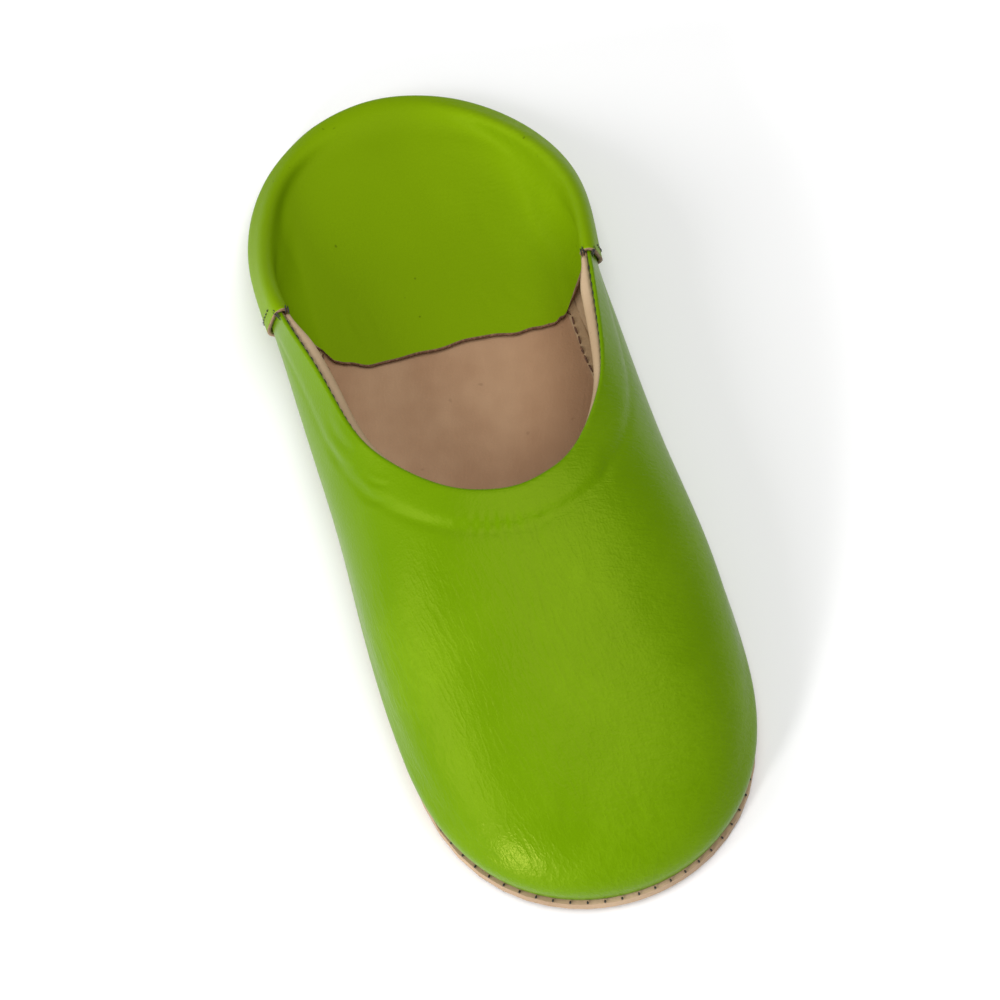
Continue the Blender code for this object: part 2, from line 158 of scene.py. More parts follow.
VAMP_CREASES = (
    Crease(0.16, 0.585, 0.00, 0.632, 0.0010, 0.0012, 0.00012),
    Crease(0.27, 0.774, -0.25, 0.828, 0.0030, 0.0022, 0.00006),
    Crease(-0.50, 0.817, -0.05, 0.821, 0.0020, 0.0018, 0.00006),
    Crease(0.05, 0.765, -0.32, 0.864, -0.0030, 0.0020, 0.00007),
    Crease(-0.20, 0.870, -0.32, 0.965, 0.0020, 0.0016, 0.00007),
    Crease(0.10, 0.880, 0.06, 0.955, -0.0015, 0.0016, 0.00006),
    Crease(-0.86, 0.392, -0.80, 0.444, 0.0010, 0.0010, 0.00023),
    Crease(-0.90, 0.418, -0.84, 0.462, 0.0008, 0.0009, 0.00020),
    Crease(-0.77, 0.478, -0.68, 0.502, 0.0008, 0.0008, 0.00022),
    Crease(-0.83, 0.492, -0.70, 0.520, 0.0010, 0.0010, 0.00018),
    Crease(0.72, 0.515, 0.50, 0.590, 0.0030, 0.0018, 0.00012),
    Crease(0.85, 0.620, 0.62, 0.655, 0.0020, 0.0016, 0.00008),
    Crease(0.90, 0.705, 0.66, 0.722, 0.0015, 0.0013, 0.00007),
    Crease(0.88, 0.770, 0.60, 0.778, -0.0015, 0.0013, 0.00006),
    Crease(-0.45, 0.640, -0.52, 0.760, 0.0020, 0.0018, 0.00008),
    Crease(-0.16, 0.650, -0.22, 0.770, -0.0020, 0.0016, 0.00007),
    Crease(0.32, 0.640, 0.28, 0.740, 0.0020, 0.0018, 0.00005),
)

FLAP_CREASES = (
    Crease(-0.52, 0.235, -0.50, 0.285, 0.0010, 0.0012, 0.00012),
    Crease(-0.44, 0.240, -0.41, 0.282, -0.0008, 0.0011, 0.00009),
    Crease(0.42, 0.255, 0.50, 0.292, 0.0012, 0.0012, 0.00010),
    Crease(0.25, 0.262, 0.28, 0.296, -0.0008, 0.0010, 0.00008),
    Crease(0.52, 0.120, 0.44, 0.215, 0.0030, 0.0022, 0.00008),
)


class Side(Enum):
    """The two sides of the slipper, each with the sign of the way round the sole from its seam to the toe."""

    LITTLE_TOE = 1
    BIG_TOE = -1


SOLE_STITCH = Stitch(radius=0.00032, bow=0.00020, pitch=0.0049)
COLLAR_STITCH = Stitch(radius=0.00020, bow=0.00020, pitch=0.0027, part=0.6, left=0.0030)
SIDE_STITCH = Stitch(radius=0.00020, bow=0.00025, pitch=0.0027, part=0.6, left=0.0020)
MARGIN_STITCH = Stitch(radius=0.00030, bow=0.00030, pitch=0.0032, part=0.82, left=0.0032)
CORNER_STITCH = Stitch(radius=0.00024, bow=0.00040)

CORNER_THREADS = (
    CornerThread((-0.0012, 0.0015, 0.0010), (0.0036, 0.0003, -0.0006)),
    CornerThread((-0.0020, 0.0012, 0.0016), (0.0026, 0.0001, 0.0001)),
    CornerThread((-0.0016, -0.0026, 0.0023), (0.0024, -0.0018, 0.0002)),
    CornerThread((-0.0009, -0.0031, 0.0018), (0.0032, -0.0026, 0.0001)),
)

# How far ahead of its seam the collar's stitches reach, as a share of the way round the sole.
COLLAR_REACH = {Side.LITTLE_TOE: 0.130, Side.BIG_TOE: 0.120}

# The hollows under the ball and the heel: place and spread across, as shares of the ball's width, and place
# and spread along, as shares of the sole's length.
HOLLOWS = ((-0.02, 0.32, 0.66, 0.16), (0.0, 0.26, 0.16, 0.13))

# Waves that make a line wander: height, rate and start.
PUCKER_WANDER = ((1.2, 310.0, 0.0), (0.9, 97.0, 0.0))
CUT_EDGE_WANDER = ((1.0, 38.0, 0.0), (0.5, 71.0, 1.0), (0.8, 19.0, 2.0))
MARGIN_SEAM_WANDER = ((0.0004, 900.0, 0.0), (0.0003, 331.0, 1.0))


@dataclass(frozen=True)
class Sizes:
    """The slipper's own sizes in metres, the same as in its solids."""

    sole_length: float = 0.2570
    ball_width: float = 0.0995
    heel_width: float = 0.0830
    instep_height: float = 0.0455
    collar_width: float = 0.0820
    collar_length: float = 0.1400
    flap_length: float = 0.0830
    toe_depth: float = 0.0600
    heel_depth: float = 0.0480
    toe_roundness: float = 2.5
    heel_roundness: float = 2.15
    waist_delay: float = 1.2
    toe_swing: float = -0.0006
    inner_waist: float = 0.0012
    waist_start: float = 0.13
    waist_reach: float = 0.67
    toe_spring: float = 0.0025
    spring_start: float = 0.78
    sole_thickness: float = 0.0032
    insole_thickness: float = 0.0018
    upper_wall: float = 0.0020
    upper_inset: float = 0.0016
    flap_thickness: float = 0.0012
    clearance: float = 0.0003
    lap_clearance: float = 0.0005
    outer_seam: float = 0.1400
    inner_seam: float = 0.8490
    tuck_length: float = 0.0080
    fold_height: float = 0.0027
    fold_roundness: float = 0.55
    hug_length: float = 0.055
    hug_depth: float = 0.4
    hug_fade: float = 0.130
    flap_ease: float = 0.12
    flap_wave: float = 0.0014


def ease(share: Array) -> Array:
    """Runs smoothly from 0 to 1 as share does: 3 s squared less 2 s cubed."""
    share = np.clip(share, 0, 1)
    return share * share * (3 - 2 * share)


def bell(distance: Array, width: float) -> Array:
    """A soft hump of height 1 at distance 0: e to the minus of distance over width, squared."""
    return np.exp(-((distance / width) ** 2))


def waves(at: Array, parts: Sequence[tuple[float, float, float]]) -> Array:
    """Sums sine waves at places, each of a height, a rate in radians to the unit and a start in radians."""
    return sum(height * np.sin(at * rate + start) for height, rate, start in parts)


def smooth(knots: Sequence[float], values: Sequence, at: Array, period: float | None = None) -> Array:
    """Reads a cubic spline, with no bend at its ends, through values at knots.

    Args:
        knots: Where the values stand.
        values: A row of numbers for each knot.
        at: Where the spline is read.
        period: The length after which the spline repeats, if it is closed.

    Returns:
        A row of numbers for each place in at.
    """
    x, y = np.asarray(knots, float), np.asarray(values, float)
    if period:
        pad = 3
        x = np.concatenate([x[-pad:] - period, x, x[:pad] + period])
        y = np.concatenate([y[-pad:], y, y[:pad]])
        at = np.mod(at, period)
    gap = np.diff(x)
    slope = np.diff(y, axis=0) / gap[:, None]
    system, known = np.eye(len(x)), np.zeros_like(y)
    for i in range(1, len(x) - 1):
        system[i, i - 1 : i + 2] = gap[i - 1], 2 * (gap[i - 1] + gap[i]), gap[i]
        known[i] = 6 * (slope[i] - slope[i - 1])
    bend = np.linalg.solve(system, known)
    i = np.clip(np.searchsorted(x, at, side="right") - 1, 0, len(x) - 2)
    before, after = ((at - x[i]) / gap[i])[:, None], ((x[i + 1] - at) / gap[i])[:, None]
    square = (gap[i] ** 2 / 6)[:, None]
    curve = (after**3 - after) * bend[i] + (before**3 - before) * bend[i + 1]
    return after * y[i] + before * y[i + 1] + square * curve


def bezier(controls: Sequence[Array], share: Array) -> Array:
    """Points of cubic Bezier curves, one curve for each row of the four controls, at shares of their run."""
    a, b, c, d = (control[:, None, :] for control in controls)
    t = np.asarray(share)[None, :, None]
    return (1 - t) ** 3 * a + 3 * (1 - t) ** 2 * t * b + 3 * (1 - t) * t**2 * c + t**3 * d


def normals(grid: Array) -> Array:
    """Outward unit directions of a grid: the cross product of its upward and its lengthwise slopes."""
    out = np.cross(np.gradient(grid, axis=1), np.gradient(grid, axis=0))
    return out / np.linalg.norm(out, axis=2, keepdims=True)


def steps(count: int) -> Array:
    """Even shares from just past 0 to 1."""
    return np.linspace(0, 1, count + 1)[1:]


def arc_lengths(grid: Array) -> Array:
    """How far each point of a grid lies along its own row, from the row's first point."""
    gaps = np.linalg.norm(np.diff(grid, axis=1), axis=2)
    return np.concatenate([np.zeros((len(grid), 1)), np.cumsum(gaps, axis=1)], axis=1)


def way_along(line: Array) -> Array:
    """How far each point of a line lies from its first point, along the line."""
    return arc_lengths(line[None])[0]


def read_along(at: Array, far: Array, values: Array) -> Array:
    """Reads rows of values that stand at distances far, straight between them, at distances at."""
    return np.stack([np.interp(at, far, column) for column in values.T], axis=1)


def evenly(grid: Array, count: int) -> tuple[Array, Array]:
    """Reads every row of a grid at evenly spaced points, straight between its own.

    Args:
        grid: Rows of points.
        count: How many points each row gets.

    Returns:
        The new grid, and the length of each row.
    """
    far = arc_lengths(grid)
    length = far[:, -1:]
    at = length * np.linspace(0, 1, count)
    return np.stack([read_along(*row) for row in zip(at, far, grid)]), length


def finer(grid: Array, count: int) -> Array:
    """Reads every row of a grid as a smooth curve, at places even in its own points' numbers.

    Args:
        grid: Rows of points.
        count: How many points each row gets.

    Returns:
        The new grid.
    """
    columns = grid.shape[1]
    flat = np.moveaxis(grid, 1, 0).reshape(columns, -1)
    read = smooth(np.arange(columns), flat, np.linspace(0, columns - 1, count))
    return np.moveaxis(read.reshape(count, len(grid), 3), 0, 1)


def blurred(grid: Array, spread: float) -> Array:
    """Averages every row with weights of e to the minus of half the distance over spread, squared.

    Args:
        grid: Rows of evenly spaced points, whose ends keep their places.
        spread: The spread of the weights, in points.

    Returns:
        The averaged grid.
    """
    reach = int(np.ceil(3 * spread))
    weights = np.exp(-0.5 * (np.arange(-reach, reach + 1) / spread) ** 2)
    weights /= weights.sum()
    before = 2 * grid[:, :1] - grid[:, reach:0:-1]
    after = 2 * grid[:, -1:] - grid[:, -2 : -reach - 2 : -1]
    wide = np.concatenate([before, grid, after], axis=1)
    count = grid.shape[1]
    return sum(weight * wide[:, k : k + count] for k, weight in enumerate(weights))


@dataclass
class Last:
    """The form that every piece of leather follows, as functions of the way round the sole."""

    sizes: Sizes
    samples: int = 2400
    outline: Array = field(init=False)
    outline_out: Array = field(init=False)
    offset: Array = field(init=False)

    def __post_init__(self) -> None:
        """Works out the sole's edge and how far the solids were moved to stand at the origin."""
        self.outline, self.outline_out = self._sole_outline()
        low, high = (np.array(corner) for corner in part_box("outsole"))
        along = self.sizes.sole_length / 2 - self.outline[:, 1]
        x = (low[0] + high[0] - self.outline[:, 0].min() - self.outline[:, 0].max()) / 2
        y = (low[1] + high[1] - along.min() - along.max()) / 2
        self.offset = np.array([x, y, low[2]])

    def _sole_outline(self) -> tuple[Array, Array]:
        """The sole's edge, evenly spaced from the heel round by the little-toe side.

        Half the width eases from the heel's to the ball's, and both ends are rounded by a power of the
        distance left to the end.

        Returns:
            Points (across, along), and outward directions.
        """
        s = self.sizes
        along = s.sole_length * (1 - np.cos(np.linspace(0, np.pi, self.samples // 2))) / 2
        toe_start = s.sole_length - s.toe_depth
        behind = np.clip((s.heel_depth - along) / s.heel_depth, 0, 1)
        before = np.clip((along - toe_start) / s.toe_depth, 0, 1)
        between = np.clip((along - s.heel_depth) / (toe_start - s.heel_depth), 0, 1)
        half = s.heel_width / 2 + (s.ball_width - s.heel_width) / 2 * ease(between**s.waist_delay)
        half = half * np.sqrt((1 - behind**s.heel_roundness) * (1 - before**s.toe_roundness))
        swing = s.toe_swing * ease(along / s.sole_length * 2 - 1)
        narrowing = np.clip((along / s.sole_length - s.waist_start) / s.waist_reach, 0, 1)
        waist = s.inner_waist * np.sin(np.pi * narrowing) ** 2
        outer = np.stack([swing - half, along], axis=1)
        inner = np.stack([swing + half - waist, along], axis=1)
        line = np.concatenate([outer, inner[-2:0:-1]])
        closed = np.concatenate([line, line[:1]])
        far = way_along(closed)
        line = read_along(np.linspace(0, far[-1], self.samples, endpoint=False), far, closed)
        run = np.roll(line, -1, axis=0) - np.roll(line, 1, axis=0)
        out = np.stack([-run[:, 1], run[:, 0]], axis=1)
        return line, out / np.linalg.norm(out, axis=1, keepdims=True)

    def edge_length(self, inset: float) -> float:
        """The way round the sole's edge, drawn in by inset."""
        line = self.outline - inset * self.outline_out
        return float(np.linalg.norm(np.diff(line, axis=0, append=line[:1]), axis=1).sum())

    @staticmethod
    def read(values: Array, share: Array) -> Array:
        """Reads evenly spaced values of the closed edge, straight between them.

        Args:
            values: The values.
            share: Shares of the way round.

        Returns:
            A row of values for each share.
        """
        place = np.mod(share, 1) * len(values)
        first = np.floor(place).astype(int) % len(values)
        part = (place - np.floor(place))[:, None]
        return values[first] * (1 - part) + values[(first + 1) % len(values)] * part

    def ends(self, share: Array) -> Array:
        """Where the ribs end, at the collar and the fold.

        Args:
            share: Shares of the way round the sole.

        Returns:
            Points (across, along, height).
        """
        s = self.sizes
        rows = [(rib.across, rib.along, rib.height) for rib in RIBS]
        size = (s.collar_width / 2, s.collar_length, s.instep_height)
        return smooth([rib.at for rib in RIBS], rows, share, period=1.0) * size

    def outward(self, share: Array, step: float = 0.002) -> Array:
        """Level outward directions of the line that the ribs end on: its slope, turned by a right angle.

        Args:
            share: Shares of the way round the sole.
            step: The share on each side over which the slope is taken.

        Returns:
            A unit direction for each share.
        """
        run = (self.ends(share + step) - self.ends(share - step))[:, :2]
        out = np.stack([-run[:, 1], run[:, 0], np.zeros(len(run))], axis=1)
        return out / np.linalg.norm(out, axis=1, keepdims=True)

    def lap_rise(self, share: Array) -> Array:
        """How far the form's lower edge stands higher where the flap runs outside it.

        Args:
            share: Shares of the way round the sole.

        Returns:
            A rise for each share.
        """
        laps = [rib.lap for rib in RIBS] + [RIBS[0].lap]
        lap = np.interp(np.mod(share, 1), [rib.at for rib in RIBS] + [1.0], laps)
        return lap * (self.sizes.flap_thickness + self.sizes.lap_clearance)

    def form(self, share: Array, run: Array) -> Array:
        """The outer form, from the sole (run 0) to the collar or fold (run 1).

        Each rib is a Bezier curve that leaves the sole outwards and up and meets its end from reach and drop.

        Args:
            share: Shares of the way round the sole, one for each rib.
            run: Shares of the way up the ribs.

        Returns:
            A grid of points (across, along, height), a row for each rib.
        """
        s = self.sizes
        base = self.read(self.outline - s.upper_inset * self.outline_out, share)
        base_out = self.read(self.outline_out, share)
        rows = [(rib.out, rib.up, rib.reach, rib.drop) for rib in RIBS]
        size = (s.ball_width, s.instep_height, s.sole_length, s.instep_height)
        shape = smooth([rib.at for rib in RIBS], rows, share, period=1.0) * size
        rise = s.sole_thickness + s.clearance + self.lap_rise(share)
        top, top_out = self.ends(share), self.outward(share)
        start = np.column_stack([base, rise])
        first = start + np.column_stack([base_out * shape[:, :1], shape[:, 1]])
        second = top + top_out * shape[:, 2:3] - UPWARDS * shape[:, 3:4]
        return bezier((start, first, second, top), run)

    def placed(self, points: Array) -> Array:
        """Turns points into the frame, with the toe to -Y and springing up as a square does.

        Args:
            points: Points (across, along, height).

        Returns:
            Points in the frame.
        """
        s = self.sizes
        share = points[..., 1] / s.sole_length
        lift = s.toe_spring * np.clip((share - s.spring_start) / (1 - s.spring_start), 0, None) ** 2
        moved = np.stack([points[..., 0], s.sole_length / 2 - points[..., 1], points[..., 2] + lift], axis=-1)
        return moved + self.offset


def crease_heights(grid: Array, creases: Sequence[Crease], sizes: Sizes) -> Array:
    """Presses creases into leather.

    A crease is a bell-shaped trough along a bowed line with a lower bell on each side. It fades in and out
    along its length as a sine does.

    Args:
        grid: The leather's points (across, along, height).
        creases: The creases.
        sizes: The sizes that their places are shares of.

    Returns:
        The sum of the creases, as heights along the outward directions.
    """
    ridge_at, ridge_height, end_depth = 1.7, 0.45, 0.25
    total = np.zeros(grid.shape[:2])
    size = np.array([sizes.ball_width / 2, sizes.sole_length])
    plan = grid[..., :2]
    for crease in creases:
        start = np.array([crease.across, crease.along]) * size
        chord = np.array([crease.to_across, crease.to_along]) * size - start
        length = float(np.hypot(*chord))
        ahead = chord / length
        aside = np.array([-ahead[1], ahead[0]])
        part = (plan - start) @ ahead / length
        inside = np.clip(part, 0, 1)
        off = (plan - start) @ aside - crease.bend * 4 * inside * (1 - inside)
        past = np.maximum(np.abs(part - 0.5) - 0.5, 0) * length
        far = np.hypot(off, past)
        fade = end_depth + (1 - end_depth) * np.sin(np.pi * inside)
        ridge = bell(far - ridge_at * crease.width, crease.width)
        total += crease.depth * fade * (ridge_height * ridge - bell(far, crease.width))
    return total


def feed(tree: bpy.types.NodeTree, socket: bpy.types.NodeSocket, value: Any) -> None:
    """Links a wire or an output to an input socket, or sets its number, vector or colour.

    Args:
        tree: The node tree.
        socket: The input socket.
        value: What it gets. A colour may come without its alpha, and None leaves the socket as it is.
    """
    value = value.socket if isinstance(value, Wire) else value
    if isinstance(value, bpy.types.NodeSocket):
        tree.links.new(value, socket)
    elif value is not None:
        lacks_alpha = socket.type == "RGBA" and len(value) == 3
        socket.default_value = (*value, 1.0) if lacks_alpha else value


class Wire:
    """A value in a shader, on which Python's operators add Math nodes."""

    def __init__(self, tree: bpy.types.NodeTree, socket: bpy.types.NodeSocket) -> None:
        """Wraps one output socket of a node tree."""
        self.tree = tree
        self.socket = socket

    def maths(self, operation: str, *values: Any) -> "Wire":
        """Adds a Math node.

        Args:
            operation: The node's operation.
            *values: Numbers or wires, in the order of the node's sockets.

        Returns:
            The node's result.
        """
        node = self.tree.nodes.new("ShaderNodeMath")
        node.operation = operation
        for socket, value in zip(node.inputs, values):
            feed(self.tree, socket, value)
        return Wire(self.tree, node.outputs[0])

    def __add__(self, other: Any) -> "Wire":
        """Adds."""
        return self.maths("ADD", self, other)

    def __radd__(self, other: Any) -> "Wire":
        """Adds, from the right."""
        return self.maths("ADD", other, self)

    def __sub__(self, other: Any) -> "Wire":
        """Subtracts."""
        return self.maths("SUBTRACT", self, other)

    def __rsub__(self, other: Any) -> "Wire":
        """Subtracts from a number."""
        return self.maths("SUBTRACT", other, self)

    def __mul__(self, other: Any) -> "Wire":
        """Multiplies."""
        return self.maths("MULTIPLY", self, other)

    def __rmul__(self, other: Any) -> "Wire":
        """Multiplies, from the right."""
        return self.maths("MULTIPLY", other, self)

    def __pow__(self, other: Any) -> "Wire":
        """Raises to a power."""
        return self.maths("POWER", self, other)

    def between(self, low: float, high: float) -> "Wire":
        """Runs smoothly from 0 to 1 as the value goes from low to high.

        Args:
            low: The value that gives 0. It may be the higher of the two.
            high: The value that gives 1.

        Returns:
            The result, between 0 and 1.
        """
        node = self.tree.nodes.new("ShaderNodeMapRange")
        node.interpolation_type = "SMOOTHSTEP"
        flipped = low > high
        values = {"Value": self, "From Min": min(low, high), "From Max": max(low, high)}
        for name, value in {**values, "To Min": float(flipped), "To Max": float(not flipped)}.items():
            feed(self.tree, node.inputs[name], value)
        return Wire(self.tree, node.outputs["Result"])

    def ridged(self) -> "Wire":
        """Turns a noise round 0.5 into thin lines where it crosses 0.5."""
        return 1.0 - self.maths("ABSOLUTE", self * 2.0 - 1.0)


class Shader:
    """A material under construction."""

    def __init__(self, name: str) -> None:
        """Makes a material that holds a Principled shader alone."""
        self.material = bpy.data.materials.new(name)
        self.material.use_nodes = True
        self.tree = self.material.node_tree
        self.surface = self.tree.nodes["Principled BSDF"]
        self.places = self.node("ShaderNodeTexCoord", {}, {}).outputs["Object"]

    def node(self, kind: str, settings: dict[str, Any], values: dict[Any, Any]) -> bpy.types.Node:
        """Adds any node.

        Args:
            kind: The node's type.
            settings: Its own properties, set first.
            values: Numbers, colours, wires or sockets for its input sockets, by name or number.

        Returns:
            The node.
        """
        node = self.tree.nodes.new(kind)
        for key, value in settings.items():
            setattr(node, key, value)
        for key, value in values.items():
            feed(self.tree, node.inputs[key], value)
        return node

    def wire(self, socket: bpy.types.NodeSocket) -> Wire:
        """Wraps a socket of this material."""
        return Wire(self.tree, socket)

    def stretched(self, scale: tuple[float, float, float], turn: float = 0.0) -> bpy.types.NodeSocket:
        """Object coordinates, turned and then scaled.

        Args:
            scale: Cells to the metre along each axis.
            turn: The turn about the vertical, in radians.

        Returns:
            The coordinates.
        """
        turned = self.node("ShaderNodeMapping", {}, {"Vector": self.places, "Rotation": (0, 0, turn)})
        mapped = self.node("ShaderNodeMapping", {}, {"Vector": turned.outputs[0], "Scale": scale})
        return mapped.outputs[0]

    def noise(self, scale: float, detail: float = 2.0, at: Any = None, rough: float = 0.5) -> Wire:
        """A soft noise about 0.5, with scale cells to the metre unless the places are scaled already."""
        values = {"Vector": at or self.places, "Scale": scale, "Detail": detail, "Roughness": rough}
        return self.wire(self.node("ShaderNodeTexNoise", {}, values).outputs["Fac"])

    def pebbles(self, scale: float) -> Wire:
        """The rounded cells of leather grain.

        Args:
            scale: Cells to the metre.

        Returns:
            A value of 0 in the cells' middles that rises towards their edges.
        """
        values = {"Vector": self.places, "Scale": scale, "Smoothness": 0.6}
        node = self.node("ShaderNodeTexVoronoi", {"feature": "SMOOTH_F1"}, values)
        return self.wire(node.outputs["Distance"])

    def axes(self) -> tuple[Wire, Wire, Wire]:
        """The Object coordinates one by one."""
        node = self.node("ShaderNodeSeparateXYZ", {}, {"Vector": self.places})
        return tuple(self.wire(output) for output in node.outputs)

    def blend(self, factor: Any, first: Any, second: Any) -> bpy.types.NodeSocket:
        """Mixes two colours.

        Args:
            factor: How much of the second colour there is.
            first: The first colour, a tuple or a socket.
            second: The second colour, likewise.

        Returns:
            The mixed colour.
        """
        first_colour, second_colour, result = 6, 7, 2
        values = {"Factor": factor, first_colour: first, second_colour: second}
        return self.node("ShaderNodeMix", {"data_type": "RGBA"}, values).outputs[result]

    def bump(self, height: Wire, distance: float, strength: float, under: Any = None) -> bpy.types.NodeSocket:
        """Raises the surface by a height of 0 to 1 times a distance.

        Args:
            height: The height.
            distance: The distance, in metres.
            strength: The strength of the effect.
            under: The output of the bump under this one, if there is one.

        Returns:
            The normal.
        """
        values = {"Height": height, "Distance": distance, "Strength": strength, "Normal": under}
        return self.node("ShaderNodeBump", {}, values).outputs[0]

    def finish(self, **values: Any) -> bpy.types.Material:
        """Feeds the Principled shader.

        Args:
            **values: What its sockets get, by their names, with _ for each space in a name.

        Returns:
            The finished material.
        """
        for name, value in values.items():
            feed(self.tree, self.surface.inputs[name.replace("_", " ")], value)
        return self.material


@dataclass(frozen=True)
class DyedLeather:
    """Satin dyed leather with a fine pebbled grain, stretched wrinkles and slightly uneven dye.

    Scales of noise are cells to the metre, and depths of grain and wrinkles are in metres.
    """

    name: str
    colour: tuple[float, float, float]
    deep: tuple[float, float, float]
    pale: tuple[float, float, float]
    roughness: float = 0.29
    grain: float = 0.00004
    wrinkle: float = 0.00008
    shine: float = 0.27
    specks: float = 0.0
    gloss: tuple[float, float, float, float] = (1.0, 0.97, 0.15, 1.0)
    refraction: float = 1.45
    cloud_scale: float = 30.0
    fine_scale: float = 700.0
    pebble_scale: float = 1500.0
    speck_scale: float = 420.0
    swell_scale: float = 90.0
    swell: float = 0.0006
    across_scales: tuple[float, float, float] = (170.0, 620.0, 300.0)
    across_turn: float = 0.12
    along_scales: tuple[float, float, float] = (430.0, 95.0, 300.0)
    along_turn: float = -0.10

    def make(self) -> bpy.types.Material:
        """Builds the material, with wrinkles across on the big-toe side and along on the other.

        Returns:
            The material.
        """
        shader = Shader(self.name)
        x, y, _ = shader.axes()
        cloudy = shader.noise(self.cloud_scale, 3.0).between(0.25, 0.75)
        fine = shader.noise(self.fine_scale, 2.0)
        pebbles = shader.pebbles(self.pebble_scale)
        stretched = shader.stretched(self.across_scales, self.across_turn)
        across = shader.noise(1.0, 3.0, stretched).ridged() ** 3.0
        stretched = shader.stretched(self.along_scales, self.along_turn)
        along = shader.noise(1.0, 3.0, stretched).ridged() ** 4.0
        big_toe_side = x.between(-0.005, 0.030)
        vamp = y.between(-0.010, -0.035)
        lines = across * (0.25 + 0.75 * big_toe_side) + along * (0.15 + 0.75 * (1.0 - big_toe_side)) * vamp
        colour = shader.blend(cloudy, self.deep, self.colour)
        worn = (lines * 0.5 + pebbles * 0.35) * cloudy
        colour = shader.blend(worn.between(0.15, 0.85) * 0.35, colour, self.pale)
        if self.specks:
            blemish = shader.noise(self.speck_scale, 0.0).between(0.850, 0.872)
            colour = shader.blend(blemish * self.specks, colour, tuple(0.35 * part for part in self.deep))
        roughness = self.roughness + 0.10 * cloudy + 0.10 * (fine - 0.5)
        normal = shader.bump(shader.noise(self.swell_scale, 2.0), self.swell, 0.25)
        normal = shader.bump(lines, self.wrinkle, 1.0, normal)
        normal = shader.bump(pebbles, self.grain, 1.0, normal)
        gleam = {"Specular_IOR_Level": self.shine, "Specular_Tint": self.gloss, "IOR": self.refraction}
        return shader.finish(Base_Color=colour, Roughness=roughness, Normal=normal, **gleam)


@dataclass(frozen=True)
class PlainLeather:
    """Undyed leather: matt, a little mottled, with faint scratches.

    Scales of noise are cells to the metre, and the grain's depth is in metres.
    """

    name: str
    colour: tuple[float, float, float]
    deep: tuple[float, float, float]
    roughness: float = 0.62
    grain: float = 0.00007
    mottle_scale: float = 26.0
    # How much painted shade darkens the big-toe side towards the deep colour.
    painted_shade_side: float = 0.0
    shine: float = 0.25
    refraction: float = 1.4
    pebble_scale: float = 1300.0
    speck_scale: float = 260.0
    swell_scale: float = 70.0
    swell: float = 0.0007
    scratch_scales: tuple[float, float, float] = (300.0, 70.0, 100.0)
    scratch_turn: float = 0.35

    def make(self) -> bpy.types.Material:
        """Builds the material, with painted shade deepening its colour on the big-toe side if that is asked
        for.

        Returns:
            The material.
        """
        shader = Shader(self.name)
        cloudy = shader.noise(self.mottle_scale, 3.0, rough=0.6).between(0.34, 0.68)
        pebbles = shader.pebbles(self.pebble_scale)
        scratched = shader.stretched(self.scratch_scales, self.scratch_turn)
        scratches = shader.noise(1.0, 2.0, scratched).ridged() ** 12.0
        colour = shader.blend(cloudy, self.deep, self.colour)
        # Painted shade: the big-toe side is blended towards the deep colour, standing in for shade.
        if self.painted_shade_side:
            big_toe_side = shader.axes()[0].between(0.004, 0.034)
            colour = shader.blend(big_toe_side * self.painted_shade_side, colour, self.deep)
        specks = shader.noise(self.speck_scale, 1.0).between(0.74, 0.80)
        colour = shader.blend(specks * 0.30, colour, tuple(0.5 * part for part in self.deep))
        colour = shader.blend(scratches * 0.06, colour, tuple(min(1.0, 1.25 * part) for part in self.colour))
        roughness = self.roughness + 0.12 * (cloudy - 0.5)
        normal = shader.bump(shader.noise(self.swell_scale, 2.0), self.swell, 0.25)
        normal = shader.bump(pebbles + scratches * 0.5, self.grain, 0.9, normal)
        gleam = {"Specular_IOR_Level": self.shine, "IOR": self.refraction}
        return shader.finish(Base_Color=colour, Roughness=roughness, Normal=normal, **gleam)


@dataclass(frozen=True)
class Thread:
    """Waxed sewing thread or a cut edge: one colour with a fine uneven twist."""

    name: str
    colour: tuple[float, float, float]
    pale: tuple[float, float, float]
    roughness: float = 0.55
    twist_scale: float = 1400.0
    twist_depth: float = 0.0002

    def make(self) -> bpy.types.Material:
        """Builds the material.

        Returns:
            The material.
        """
        shader = Shader(self.name)
        twist = shader.noise(self.twist_scale, 2.0)
        colour = shader.blend(twist.between(0.35, 0.75), self.colour, self.pale)
        normal = shader.bump(twist, self.twist_depth, 0.8)
        roughness = self.roughness + 0.2 * (twist - 0.5)
        return shader.finish(Base_Color=colour, Roughness=roughness, Normal=normal)


GREEN, DEEP_GREEN, PALE_GREEN = (0.119, 0.236, 0.0004), (0.109, 0.221, 0.0002), (0.160, 0.296, 0.004)

